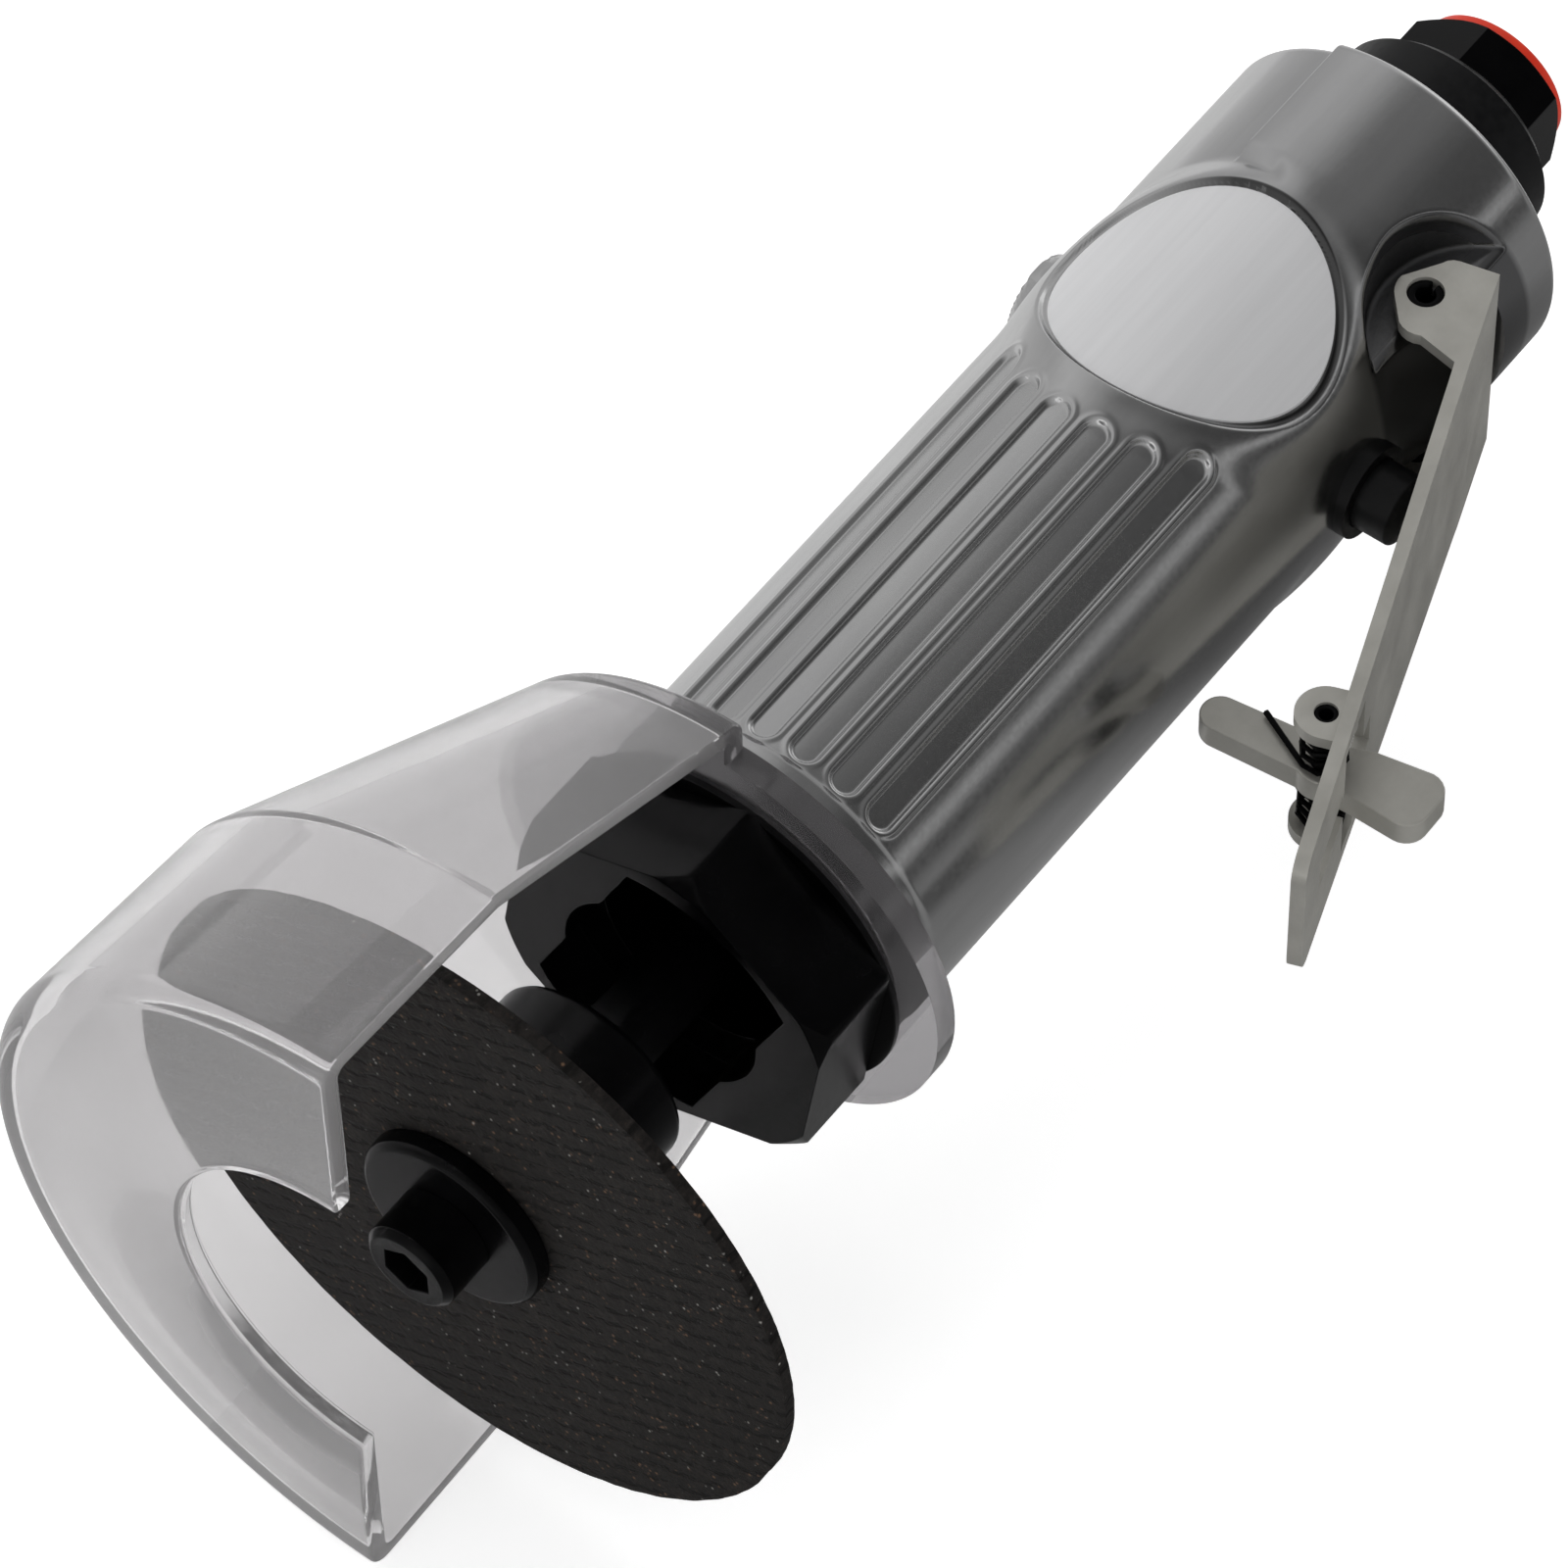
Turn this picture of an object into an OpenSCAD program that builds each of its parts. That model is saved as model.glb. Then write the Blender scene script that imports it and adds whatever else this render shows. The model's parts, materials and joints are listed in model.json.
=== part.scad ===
// Pneumatic cut off tool with a 75 mm disc, a clear half guard and a lever throttle.
// X runs along the spindle to the air inlet and Z points to the label side. The lever hangs on the -Y side.
// Stations called _x are distances behind the disc's front face. The origin is the mouth of the air inlet.

/* [Disc and flanges] */
// Diameter of the cutting disc
disc_d = 75; // [60:0.5:76]
// Thickness of the cutting disc
disc_t = 1.6; // [0.8:0.1:2.5]
// Distance of the spindle's front end behind the disc
shaft_gap = 4.4; // [3:0.1:6]
// Diameter of the spigot that centres the disc
spigot_d = 9.5; // [8:0.1:12]
// Step of the spigot behind the disc's front face
spigot_sink = 0.15; // [0.05:0.05:0.4]
// Diameter of the outer clamping flange
outer_flange_d = 20.6; // [16:0.1:24]
// Thickness of the outer clamping flange
outer_flange_t = 2.5; // [1.5:0.1:4]
// Bevel of the outer clamping flange
outer_flange_bevel = 0.6; // [0.2:0.1:1]
// Diameter of the drive flange behind the disc
drive_flange_d = 21.2; // [17:0.1:22]
// Length of the drive flange
drive_flange_l = 18.4; // [14:0.1:22]
// Bevel of the drive flange at the disc
drive_flange_bevel = 0.3; // [0.1:0.1:1]
// Rounding of the drive flange's rear edge
drive_flange_round = 1.2; // [0.4:0.1:2]
// Thread diameter of the disc screw
bolt_d = 6; // [5:0.1:6.5]
// Head diameter of the disc screw
bolt_head_d = 10; // [9:0.1:12]
// Head height of the disc screw
bolt_head_h = 6; // [4:0.1:7]
// Bevel of the screw's head
bolt_bevel = 0.7; // [0.2:0.1:1]
// Width across flats of the screw's hexagon socket
socket_af = 5; // [4:0.1:5.5]
// Depth of the screw's hexagon socket
socket_h = 3; // [2:0.1:4]
// Length of the screw below its head
bolt_l = 15; // [12:0.5:18]

/* [Guard] */
// Outer radius of the guard's drum at its front
guard_r = 43.3; // [41:0.1:48]
// Taper of the drum from its front to the cone
guard_taper = 1.2; // [0.4:0.1:3]
// Station where the cone starts
guard_mid_x = 8; // [6:0.1:12]
// Step of the drum at the ridge where the cone starts
guard_step = 0.2; // [0.1:0.05:0.4]
// Half the width of that ridge
guard_ridge = 1; // [0.5:0.1:2]
// Outer radius of the cone at the rear plate
guard_rear_r = 28.4; // [26.5:0.1:32]
// Wall of the guard
guard_wall = 2.3; // [1.5:0.1:3]
// Distance of the guard's front face ahead of the disc
guard_front = 17; // [13:0.1:20]
// Radius of the cut-out in the guard's front plate
guard_window_r = 20.2; // [14:0.1:26]
// Rounding of the guard's edges
guard_round = 2.2; // [0.5:0.1:2.8]
// Radius of the guard's clamped ring
guard_ring_r = 24.3; // [21:0.1:25.5]
// Thickness of the guard's clamped ring
guard_ring_t = 2.75; // [2:0.05:4]

/* [Clamp nut] */
// Step from the barrel down to the clamp nut's flats
nut_flat_step = 1.1; // [0.4:0.1:2]
// Step from the barrel out to the nut's turned corners
nut_corner_rise = 1.5; // [0.2:0.1:1.8]
// Bevel of the nut's front corners
nut_bevel = 1.4; // [0.6:0.1:2]
// Length of the nut's head
nut_l = 10.4; // [8:0.1:12]
// Radius of the nut's front opening
nut_hole_r = 11.3; // [9:0.1:12]
// Width of the two spanner slots
nut_slot_w = 20; // [10:0.5:22]
// Depth of the two spanner slots
nut_slot_h = 6; // [2:0.1:7]
// Wall between the two spanner slots and the nut's flats
nut_slot_wall = 1.2; // [1:0.1:3]
// Turn of the two spanner slots about the spindle
nut_slot_turn = 25; // [-90:1:90]
// Wall of the nut's threaded sleeve
nut_sleeve_wall = 2.9; // [2:0.1:3.2]
// Turn of the nut's flats about the spindle
nut_turn = 9; // [-30:1:30]
// Length of the threaded sleeve behind the nut's head
nut_sleeve_l = 9.8; // [8:0.1:12]
// Depth of the threaded sleeve below the barrel's surface
sleeve_depth = 3.2; // [2.6:0.1:3.9]
// Step from the nut's corners down to the washer's rim
washer_step = 0.65; // [0.3:0.05:2]
// Thickness of the washer under the nut
washer_t = 0.75; // [0.4:0.05:1.2]

/* [Motor] */
// Radius of the motor bore in the housing
motor_r = 15; // [14:0.1:15.6]
// Length of the front end plate
front_plate_l = 9.8; // [9:0.1:12]
// Length of the cylinder liner
liner_l = 32; // [26:0.5:36]
// Bore radius of the cylinder liner
liner_bore_r = 12.6; // [12.3:0.05:12.9]
// Offset of the liner's bore from the spindle
liner_offset = 0.9; // [0.5:0.05:1.0]
// Exhaust ports in the liner
port_n = 5; // [3:1:6]
// Radius of an exhaust port
port_r = 1.1; // [0.8:0.1:1.5]
// Distance between exhaust ports
port_pitch = 4; // [3.2:0.1:5]
// Radius of the rotor's body
rotor_r = 11.3; // [10.5:0.1:11.3]
// Number of vanes
vane_n = 4; // [3:1:5]
// Thickness of a vane
vane_t = 1.5; // [1:0.1:2]
// Depth of a vane
vane_h = 5.2; // [4:0.1:5.4]
// Length of the rear end plate
rear_plate_l = 7; // [6.5:0.1:9]
// Radius of the spindle at the front bearing
spindle_r = 4; // [3.5:0.05:4.2]
// Radius of the spindle at the rear bearing
tail_r = 3; // [2.5:0.05:3.2]
// Outer radius of the front bearing
front_bearing_r = 11; // [10.5:0.1:11.2]
// Width of the front bearing
front_bearing_w = 7; // [6:0.1:8]
// Outer radius of the rear bearing
rear_bearing_r = 9.5; // [9:0.1:10]
// Width of the rear bearing
rear_bearing_w = 6; // [5:0.1:6.2]
// Balls in each bearing
ball_n = 7; // [6:1:7]
// Share of the room between shaft and bearing rim that the balls take
ball_share = 0.54; // [0.48:0.01:0.58]
// Part of a ball's radius that each race leaves open
race_open = 0.6; // [0.5:0.05:0.7]
// Thickness of the gasket behind the motor
gasket_t = 0.5; // [0.3:0.05:1]
// Distance from the rear bearing to the gasket's bore
gasket_gap = 1.2; // [0.5:0.1:2]
// Radius of the locating pin
dowel_r = 0.9; // [0.6:0.05:1]
// Distance of the locating pin from the motor's edge
dowel_edge = 1.6; // [1.2:0.1:2]
// Depth of the locating pin in each end plate
dowel_sink = 3; // [2:0.1:4]

/* [Housing] */
// Radius of the barrel
barrel_r = 19.1; // [18.6:0.1:20]
// Length of the housing
housing_l = 106.5; // [104:0.5:112]
// Length of the turned front collar
collar_l = 4; // [2:0.1:6]
// Step of the front collar below the barrel
collar_step = 0.25; // [0.1:0.05:0.5]
// Height of the raised lever side of the head above the barrel
plateau_rise = 1.3; // [0.6:0.05:1.9]
// Length of the raised lever side of the head
plateau_l = 16; // [12:0.1:20]
// Edge of the raised side, in degrees past the label side
plateau_edge = 20; // [0:1:30]
// Bevel at the front of the raised side
plateau_bevel = 0.4; // [0.2:0.1:0.8]
// Rounding of the housing's rear edge
rear_round = 1.2; // [0.5:0.1:2]

/* [Flutes and label] */
// Flutes on each side
flute_n = 6; // [2:1:6]
// Angle between flutes
flute_pitch = 14.34; // [12:0.1:14.5]
// Width of a flute
flute_w = 3.2; // [2:0.1:3.4]
// Depth of a flute
flute_h = 0.55; // [0.3:0.05:0.8]
// Width of the raised rim round a flute
rim_w = 0.55; // [0.3:0.05:0.7]
// Height of the raised rim round a flute
rim_h = 0.22; // [0.1:0.02:0.4]
// Station of the flutes' front ends
flute_x = 48.7; // [48:0.1:60]
// Gap from the label's centre to the flutes' rear ends
flute_gap = 17.9; // [17.2:0.1:20]
// Diameter of the label
label_d = 28; // [20:0.1:29]
// Thickness of the label
label_t = 0.3; // [0.2:0.05:0.5]
// Station of the label's centre
label_x = 115.6; // [112:0.1:117]
// Radius of the round pad under the label
pad_r = 16.6; // [15.8:0.1:16.8]
// Height of the pad's top above the barrel
pad_rise = 1.2; // [0.8:0.05:1.9]
// Radius of the recess round the label
recess_r = 15.4; // [14.8:0.1:15.6]
// Depth of the recess
recess_h = 0.75; // [0.4:0.05:1]

/* [Throttle valve] */
// Station of the valve's axis
valve_x = 118.5; // [116:0.1:119]
// Radius of the valve bore
valve_bore_r = 5.2; // [5:0.05:5.6]
// Radius of the valve stem
stem_r = 3.8; // [3:0.05:4]
// Chamfer of the stem's tip
stem_chamfer = 1.5; // [0.5:0.1:2]
// Length of that chamfer along the stem
stem_tip_l = 0.9; // [0.4:0.1:1.5]
// Length of the thick stem left inside the bushing's inner end
stem_shoulder = 1; // [0.5:0.1:2]
// Distance of the valve seat from the spindle
seat_y = 5.5; // [5:0.1:6]
// Thickness of the wall round the valve seat
seat_t = 1.4; // [1:0.1:2]
// Distance of the bushing's inner end from the spindle
bush_in_y = 10.5; // [10:0.1:12]
// Height of the bushing's outer end above the barrel
bush_rise = 1.1; // [0.5:0.1:1.9]
// Radius of the valve chamber behind the seat
chamber_r = 4.3; // [4.2:0.05:4.6]
// Radius of the port under the valve seat
seat_r = 2.8; // [2.4:0.1:3]
// Radius of the poppet
poppet_r = 3.8; // [3.4:0.05:3.9]
// Thickness of the poppet
poppet_t = 1.6; // [1:0.1:2]
// Wire of the valve spring
valve_wire = 0.7; // [0.5:0.05:0.9]
// Curls of the valve spring
valve_curls = 5; // [3:1:6]
// Length of each straight end of the valve spring
valve_leg_l = 1; // [0.5:0.1:2]
// Radius of the regulator boss
boss_r = 5.7; // [5.2:0.1:7]
// Height of the regulator boss's face above the barrel
boss_rise = 1.6; // [0.9:0.1:2.4]
// Width of the regulator's screwdriver slot
regulator_slot = 1.2; // [0.8:0.1:2]
// Depth of that slot
regulator_slot_h = 1; // [0.5:0.1:1.5]
// Depth of the regulator's head below the boss
regulator_sink = 1.2; // [0.2:0.1:2]
// Distance of the regulator's inner end from the spindle
regulator_in_y = 9.5; // [8:0.1:11]
// Radius of the air feed from the valve to the motor
feed_r = 2; // [1.5:0.1:2.4]
// Radius of the two exhaust ways
exhaust_r = 1.8; // [1.2:0.1:2]
// Distance of the exhaust ways from the spindle towards the guard side
exhaust_y = 4.8; // [4:0.1:6]
// Distance of the exhaust ways from the spindle to each side
exhaust_z = 8.3; // [7.5:0.1:9]
// Half the thickness of the valve's sealing rings
seal_r = 0.45; // [0.3:0.05:0.6]

/* [Lever] */
// Thickness of the lever's sheet
lever_t = 1.5; // [1:0.05:1.8]
// Angle of the lever to the barrel
lever_angle = 19.8; // [18:0.1:22]
// Station of the lever's pivot
pivot_x = 133.3; // [131:0.1:135]
// Depth of the pivot below the barrel's surface
pivot_depth = 3.5; // [3.1:0.1:3.9]
// Radius of the pivot pin
pivot_r = 1.85; // [1.2:0.05:2]
// Wall of the hollow pivot pin
pivot_wall = 0.85; // [0.5:0.05:1]
// Width of the slit along the pivot pin
pivot_slit = 0.6; // [0.3:0.1:0.8]
// Depth of the pin's ends below the ears' faces
pivot_sink = 0.4; // [0.2:0.1:0.8]
// Distance from the pivot to the lever's inner face
pivot_drop = 4.9; // [4.6:0.1:5.6]
// Half the width over the lever's ears
ear_z = 13.2; // [12.8:0.1:14.5]
// Radius of the ears round the pivot
ear_r = 3.1; // [2.8:0.1:3.6]
// Reach of the ears ahead of the pivot
ear_front = 5.4; // [4.6:0.1:6]
// Reach of the ears behind the pivot
ear_rear = 4.7; // [4:0.1:5]
// Rounding of the ears' front corners
ear_front_round = 2.5; // [1.5:0.1:2.6]
// Rounding of the ears' rear corners
ear_rear_round = 1.7; // [1:0.1:2]
// Distance of the front corners' centre below the pivot
ear_front_drop = 0.5; // [0:0.1:1]
// Distance of the rear corners' centre below the pivot
ear_rear_drop = 2; // [1:0.1:2.5]
// Step of the web ahead of the ears' rear edge
web_step = 0.5; // [0.2:0.1:1]
// Half the width of the lever's strip behind the latch ears
strip_w = 9.4; // [9:0.1:10.4]
// Widening of the strip's sides towards the throat, per mm of its length
strip_taper = 0.075; // [0:0.005:0.08]
// Distance along the strip from the pivot to its free end
lever_l = 67; // [64:0.5:70]
// Distance along the strip from the pivot to its throat
throat_s = 7.6; // [6.5:0.1:8.5]
// Length of the flare where the strip widens to its throat
throat_flare = 1.8; // [1:0.1:2.5]
// Rounding of the lever's free corners
lever_round = 2.5; // [2:0.1:7]
// Room behind the lever's web under the head
web_room = 1.5; // [0.5:0.1:3]
// Half the width of the lug between the ears
lug_z = 10.5; // [9.8:0.1:11]
// Distance of the pocket's centre behind the pivot
pocket_s = 0.4; // [-1:0.1:1.5]
// Distance of the pocket's centre below the pivot
pocket_drop = 6.3; // [5.5:0.1:7]
// Radius of the pocket in the head
pocket_r = 11.4; // [10.8:0.1:12]

/* [Safety latch] */
// Distance along the strip from the pivot to the latch pin
latch_s = 49; // [46:0.1:50]
// Height of the latch pin above the lever's inner face
latch_h = 1.5; // [1.4:0.05:2]
// Radius of the latch pin
latch_pin_r = 1.2; // [0.8:0.05:1.4]
// Wall of the hollow latch pin
latch_pin_wall = 0.5; // [0.3:0.05:0.6]
// Thickness of the latch
latch_t = 3.1; // [2:0.1:3.6]
// Length of the latch's arm from its pin
latch_arm_l = 13.3; // [11:0.1:13.3]
// Width of the latch's arm
latch_arm_w = 4.2; // [3.4:0.1:4.6]
// Width of the latch's arm at its pin
latch_root_w = 4.6; // [4.2:0.1:5.4]
// Tilt of the latch's arm from square to the barrel
latch_tilt = 6.6; // [5:0.1:9]
// Reach of the thumb piece below the pin
thumb_l = 11.8; // [10.4:0.1:11.9]
// Distance below the pin where the thumb piece's front edge starts
thumb_front = 4.7; // [3:0.1:6]
// Distance below the pin where the thumb piece's rear edge starts
thumb_rear = 3.5; // [2.5:0.1:5]
// Shift of the thumb piece towards the head
thumb_shift = 1.5; // [0:0.1:2]
// Rounding of the thumb piece's corners
thumb_round = 2.3; // [1:0.1:3]
// Width of the thumb piece
thumb_w = 7; // [6:0.1:7.4]
// Width of the slot in the strip
slot_w = 4; // [3.8:0.1:5]
// Length of the slot ahead of the latch pin
slot_front = 12.2; // [12.1:0.1:12.6]
// Length of the slot behind the latch pin
slot_rear = 6.2; // [5:0.1:8]
// Reach of the spring's window to each side of the latch pin
coil_window = 3.5; // [3:0.1:4.2]
// Radius of the small ears that hold the latch pin
clevis_r = 3.1; // [2.9:0.1:3.6]
// Wire of the latch spring
latch_wire = 0.65; // [0.6:0.05:1]
// Curls of the latch spring
latch_curls = 4; // [2:1:3]
// Radius of the latch spring's wire centre line
latch_coil_r = 2.25; // [2.1:0.05:2.4]
// Lean of the latch spring's leg from square to the barrel
latch_leg_a = 25; // [15:1:35]
// Length of the latch spring's leg on the strip
latch_foot_l = 3; // [2:0.1:4.5]
// Length of the latch spring's leg on the arm
latch_leg_l = 7.2; // [6:0.1:9]

/* [Air inlet] */
// Radius of the exhaust deflector
deflector_r = 12.5; // [11.5:0.1:14]
// Length of the exhaust deflector
deflector_l = 10; // [8:0.1:12]
// Wall of the exhaust deflector
deflector_wall = 1.4; // [1:0.1:2]
// Rounding of the deflector's front edge
deflector_round = 1.5; // [0.5:0.1:2]
// Bevel of the deflector's rear edge
deflector_bevel = 1; // [0.3:0.1:1.5]
// Thickness of the silencer pad
silencer_t = 2; // [1:0.1:2.4]
// Diameter of the deflector's vent holes
vent_d = 2.4; // [1.5:0.1:3]
// Vent holes in the deflector
vent_n = 5; // [3:2:7]
// Angle between the vent holes
vent_pitch = 22; // [18:1:30]
// Radius of the inlet's neck
neck_r = 7.2; // [7:0.05:7.6]
// Length of thread in the housing
neck_l = 12; // [9:0.1:13]
// Width across flats of the inlet's hexagon
inlet_af = 17; // [16:0.1:19]
// Length of the inlet's hexagon
inlet_l = 6.9; // [5:0.1:9]
// Height of the inlet hexagon's corners over its flats
inlet_crown = 1.3; // [0.8:0.1:1.4]
// Length of the chamfer on those corners
inlet_crown_l = 0.8; // [0.4:0.1:1.2]
// Bore radius of the inlet's quarter inch thread
inlet_r = 5.72; // [5.5:0.01:5.9]
// Depth of the inlet's thread
inlet_depth = 11; // [9:0.1:12]
// Radius of the air passage
air_r = 4.2; // [3.5:0.1:4.5]
// Outer radius of the red inlet ring
ring_r = 8.3; // [7.8:0.1:8.5]
// Thickness of the red inlet ring
ring_t = 1.2; // [0.6:0.1:2]
// Ledge that stops a fitting short of the strainer
strainer_ledge = 0.6; // [0.4:0.05:1]
// Thickness of the inlet strainer
strainer_t = 0.8; // [0.5:0.1:1.2]
// Radius of the strainer's holes
strainer_hole_r = 0.55; // [0.3:0.05:0.6]

/* [Fits] */
// Gap round pieces that turn or slide in a bore
run = 0.05; // [0.02:0.01:0.1]
// Gap between pieces that move past each other
clear = 0.3; // [0.2:0.05:0.5]

/* [Hidden] */
$fn = 64;
eps = 0.01;
// How far cuts run past a face, and joined shapes into each other
past = 1;
// Rings of wire in each curl of a spring
curl_rings = 8;

// Sizes that follow the guard's front and the barrel
guard_mid_r = guard_r - guard_taper;
nut_sleeve_r = barrel_r - sleeve_depth;
nut_af = 2 * (barrel_r - nut_flat_step);
nut_corner_r = barrel_r + nut_corner_rise;
nut_slot_r = nut_af / 2 - nut_slot_wall;
washer_r = nut_corner_r - washer_step;
plateau_r = barrel_r + plateau_rise;
pad_top_r = barrel_r + pad_rise;
boss_y = barrel_r + boss_rise;
bush_out_y = barrel_r + bush_rise;
pivot_y = barrel_r - pivot_depth;

// Stations along the spindle
drive_x = disc_t;
shaft_x = disc_t + shaft_gap;
housing_x = 44;
nut_x = housing_x - guard_ring_t - 2 * run - washer_t - nut_l;
head_end_x = housing_x + housing_l;
front_plate_x = housing_x + nut_sleeve_l - guard_ring_t - 2 * run - washer_t;
liner_x = front_plate_x + front_plate_l;
rear_plate_x = liner_x + liner_l;
gasket_x = rear_plate_x + rear_plate_l;
motor_end_x = gasket_x + gasket_t;
front_bearing_x = front_plate_x;
rear_bearing_x = gasket_x - rear_bearing_w;
deflector_x = head_end_x + clear;
hex_x = deflector_x + deflector_l + clear;
mouth_x = hex_x + inlet_l;
guard_rear_x = housing_x - run;
guard_ring_x = guard_rear_x - guard_ring_t;
guard_front_x = -guard_front;

// Lever geometry, seen from the label side
lever_dir = [cos(lever_angle), sin(lever_angle)];
pivot = [pivot_x, -pivot_y];
web_s = ear_rear - web_step;
clevis_z = strip_w - lever_t;
stem_contact_x = valve_x + stem_r - stem_chamfer;
stem_tip_y = inner_face_y(stem_contact_x) + clear;
latch_at = on_strip(-latch_s, latch_h);

// Valve and air passages
seal_y = (bush_in_y + bush_out_y) / 2;
spring_y0 = -seat_y + poppet_t + 2 * run + valve_wire / 2;
spring_y1 = regulator_in_y - run - valve_wire / 2;
regulator_y = boss_y - regulator_sink;
regulator_seal_y = (regulator_in_y + regulator_y) / 2;
strainer_seat_r = inlet_r - strainer_ledge;
strainer_x = mouth_x - inlet_depth - strainer_t;
// Each ring of the strainer's holes: its share of the strainer's radius, and its holes
strainer_rings = [[0, 1], [0.36, 6], [0.7, 12]];

// Motor
dowel_z = motor_r - dowel_edge;
rotor_x = liner_x + clear;
rotor_l = liner_l - 2 * clear;
bolt_x = -outer_flange_t - bolt_head_h;

// Coil of the latch spring: it fills the room between the latch and a small ear
latch_coil_z = latch_t / 2 + clear + latch_wire / 2;
latch_coil_h = clevis_z - clear - latch_wire / 2 - latch_coil_z;
latch_a0 = 180 - latch_leg_a;
latch_a1 = 360 * latch_curls + lever_angle - 90 + latch_leg_a;

function inner_face_y(x) = -pivot_y - pivot_drop / cos(lever_angle) + (x - pivot_x) * tan(lever_angle);
// Point s along the strip behind the pivot and h above the strip's inner face
function on_strip(s, h) = [pivot_x + s * lever_dir[0] - (h - pivot_drop) * lever_dir[1],
    -pivot_y + s * lever_dir[1] + (h - pivot_drop) * lever_dir[0]];
function arc(cx, cy, r, a0, a1, n) =
    [for (i = [0 : n]) let (a = a0 + (a1 - a0) * i / n) [cx + r * cos(a), cy + r * sin(a)]];

// Moves a piece from its station into the frame of the air inlet
module placed() translate([-mouth_x, 0, 0]) children();
module along_x(x) translate([x, 0, 0]) rotate([0, 90, 0]) children();
module along_y(x, y) translate([x, y, 0]) rotate([-90, 0, 0]) children();
module rod_x(x0, x1, r) along_x(x0) cylinder(r = r, h = x1 - x0);
module rod_y(x, y0, y1, r) along_y(x, y0) cylinder(r = r, h = y1 - y0);
module rod_z(at, z0, z1, r) translate([at[0], at[1], z0]) cylinder(r = r, h = z1 - z0);
module tube_x(x0, x1, r, ri) difference() {
    rod_x(x0, x1, r);
    rod_x(x0 - eps, x1 + eps, ri);
}
// Turns a profile of [radius, station] points round the spindle
module turned(points) along_x(0) rotate_extrude() polygon(points);
module half_turned(points) along_x(0) rotate_extrude(angle = 180) polygon(points);
module hex_rod(x0, x1, af, turn) along_x(x0) rotate([0, 0, turn])
    cylinder(d = af / cos(30), h = x1 - x0, $fn = 6);

// One unbroken wire: n curls about Z from angle a0 on, with a straight leg at each end. The legs leave along
// the curls' tangents, so their lengths and the two end angles place them.
function turn_at(r, pitch, a0, a) = [r * cos(a0 + a), r * sin(a0 + a), pitch * a / 360];
function tangent(a) = [-sin(a), cos(a), 0];
function coil_path(r, pitch, a0, a1, leg0, leg1) = let (n = ceil((a1 - a0) / 360 * curl_rings)) concat(
    [turn_at(r, pitch, a0, 0) - leg0 * tangent(a0)],
    [for (i = [0 : n]) turn_at(r, pitch, a0, i * (a1 - a0) / n)],
    [turn_at(r, pitch, a0, a1 - a0) + leg1 * tangent(a1)]);
function unit(v) = v / norm(v);
function path_dir(p, i) = unit(p[min(i + 1, len(p) - 1)] - p[max(i - 1, 0)]);
function ring_at(p, i, r, sides) = let (d = path_dir(p, i), u = unit(cross(d, [0, 0, 1])), v = cross(u, d))
    [for (k = [0 : sides - 1]) p[i] + r * (cos(k * 360 / sides) * u + sin(k * 360 / sides) * v)];
module wire(p, r, sides = 6) {
    n = len(p);
    points = [for (i = [0 : n - 1]) each ring_at(p, i, r, sides)];
    walls = [for (i = [0 : n - 2], k = [0 : sides - 1])
        let (a = i * sides + k, b = i * sides + (k + 1) % sides)
            each [[a, b, b + sides], [a, b + sides, a + sides]]];
    first = [for (k = [1 : sides - 2]) [0, k + 1, k]];
    last = [for (k = [1 : sides - 2]) let (o = (n - 1) * sides) [o, o + k, o + k + 1]];
    polyhedron(concat(points), concat(walls, first, last));
}
// Least distance between two stretches of a wire that are more than half a curl apart, less its thickness
function wire_gap(p, d) = let (skip = curl_rings / 2 + 1)
    min([for (i = [0 : len(p) - 1 - skip], j = [i + skip : len(p) - 1]) norm(p[i] - p[j])]) - d;

// Housing
module flute_shape(x0, x1, w) {
    translate([x0 + w / 2, 0]) circle(d = w);
    translate([x1 - w / 2, 0]) circle(d = w);
    translate([x0 + w / 2, -w / 2]) square([x1 - x0 - w, w]);
}
function flute_angle(i) = (i - (flute_n - 1) / 2) * flute_pitch;
// A flute ends on a circle round the label
function flute_end(a) = label_x - sqrt(pow(flute_gap, 2) - pow(barrel_r * a * PI / 180, 2));
module flute_prisms(grow, z0) for (side = [0, 180], i = [0 : flute_n - 1]) let (a = flute_angle(i))
    rotate([side + a, 0, 0]) translate([0, 0, z0]) linear_extrude(barrel_r + rim_h + past - z0)
        flute_shape(flute_x - grow, flute_end(abs(a)) + grow, flute_w + 2 * grow);
module flute_rims() intersection() {
    tube_x(housing_x + collar_l, label_x, barrel_r + rim_h, barrel_r - past);
    flute_prisms(rim_w, barrel_r - past);
}
module barrel_form() turned(concat(
    [[0, housing_x], [barrel_r - collar_step, housing_x], [barrel_r - collar_step, housing_x + collar_l],
        [barrel_r, housing_x + collar_l + collar_step]],
    arc(barrel_r - rear_round, head_end_x - rear_round, rear_round, 0, 90, 5),
    [[0, head_end_x]]));
module plateau_form() along_x(0) rotate([0, 0, 180 - plateau_edge])
    rotate_extrude(angle = 180 + 2 * plateau_edge) polygon(concat(
        [[motor_r, head_end_x - plateau_l], [plateau_r - plateau_bevel, head_end_x - plateau_l],
            [plateau_r, head_end_x - plateau_l + plateau_bevel]],
        arc(plateau_r - rear_round, head_end_x - rear_round, rear_round, 0, 90, 5),
        [[motor_r, head_end_x]]));
// A round column through the barrel at the label's station
module label_column(r) translate([label_x, 0, -pad_top_r - past]) cylinder(r = r, h = 2 * (pad_top_r + past));
module label_pads() intersection() {
    rod_x(label_x - pad_r, label_x + pad_r, pad_top_r);
    label_column(pad_r);
}
module label_recesses() difference() {
    label_column(recess_r);
    rod_x(label_x - pad_r, label_x + pad_r, pad_top_r - recess_h);
}
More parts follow.
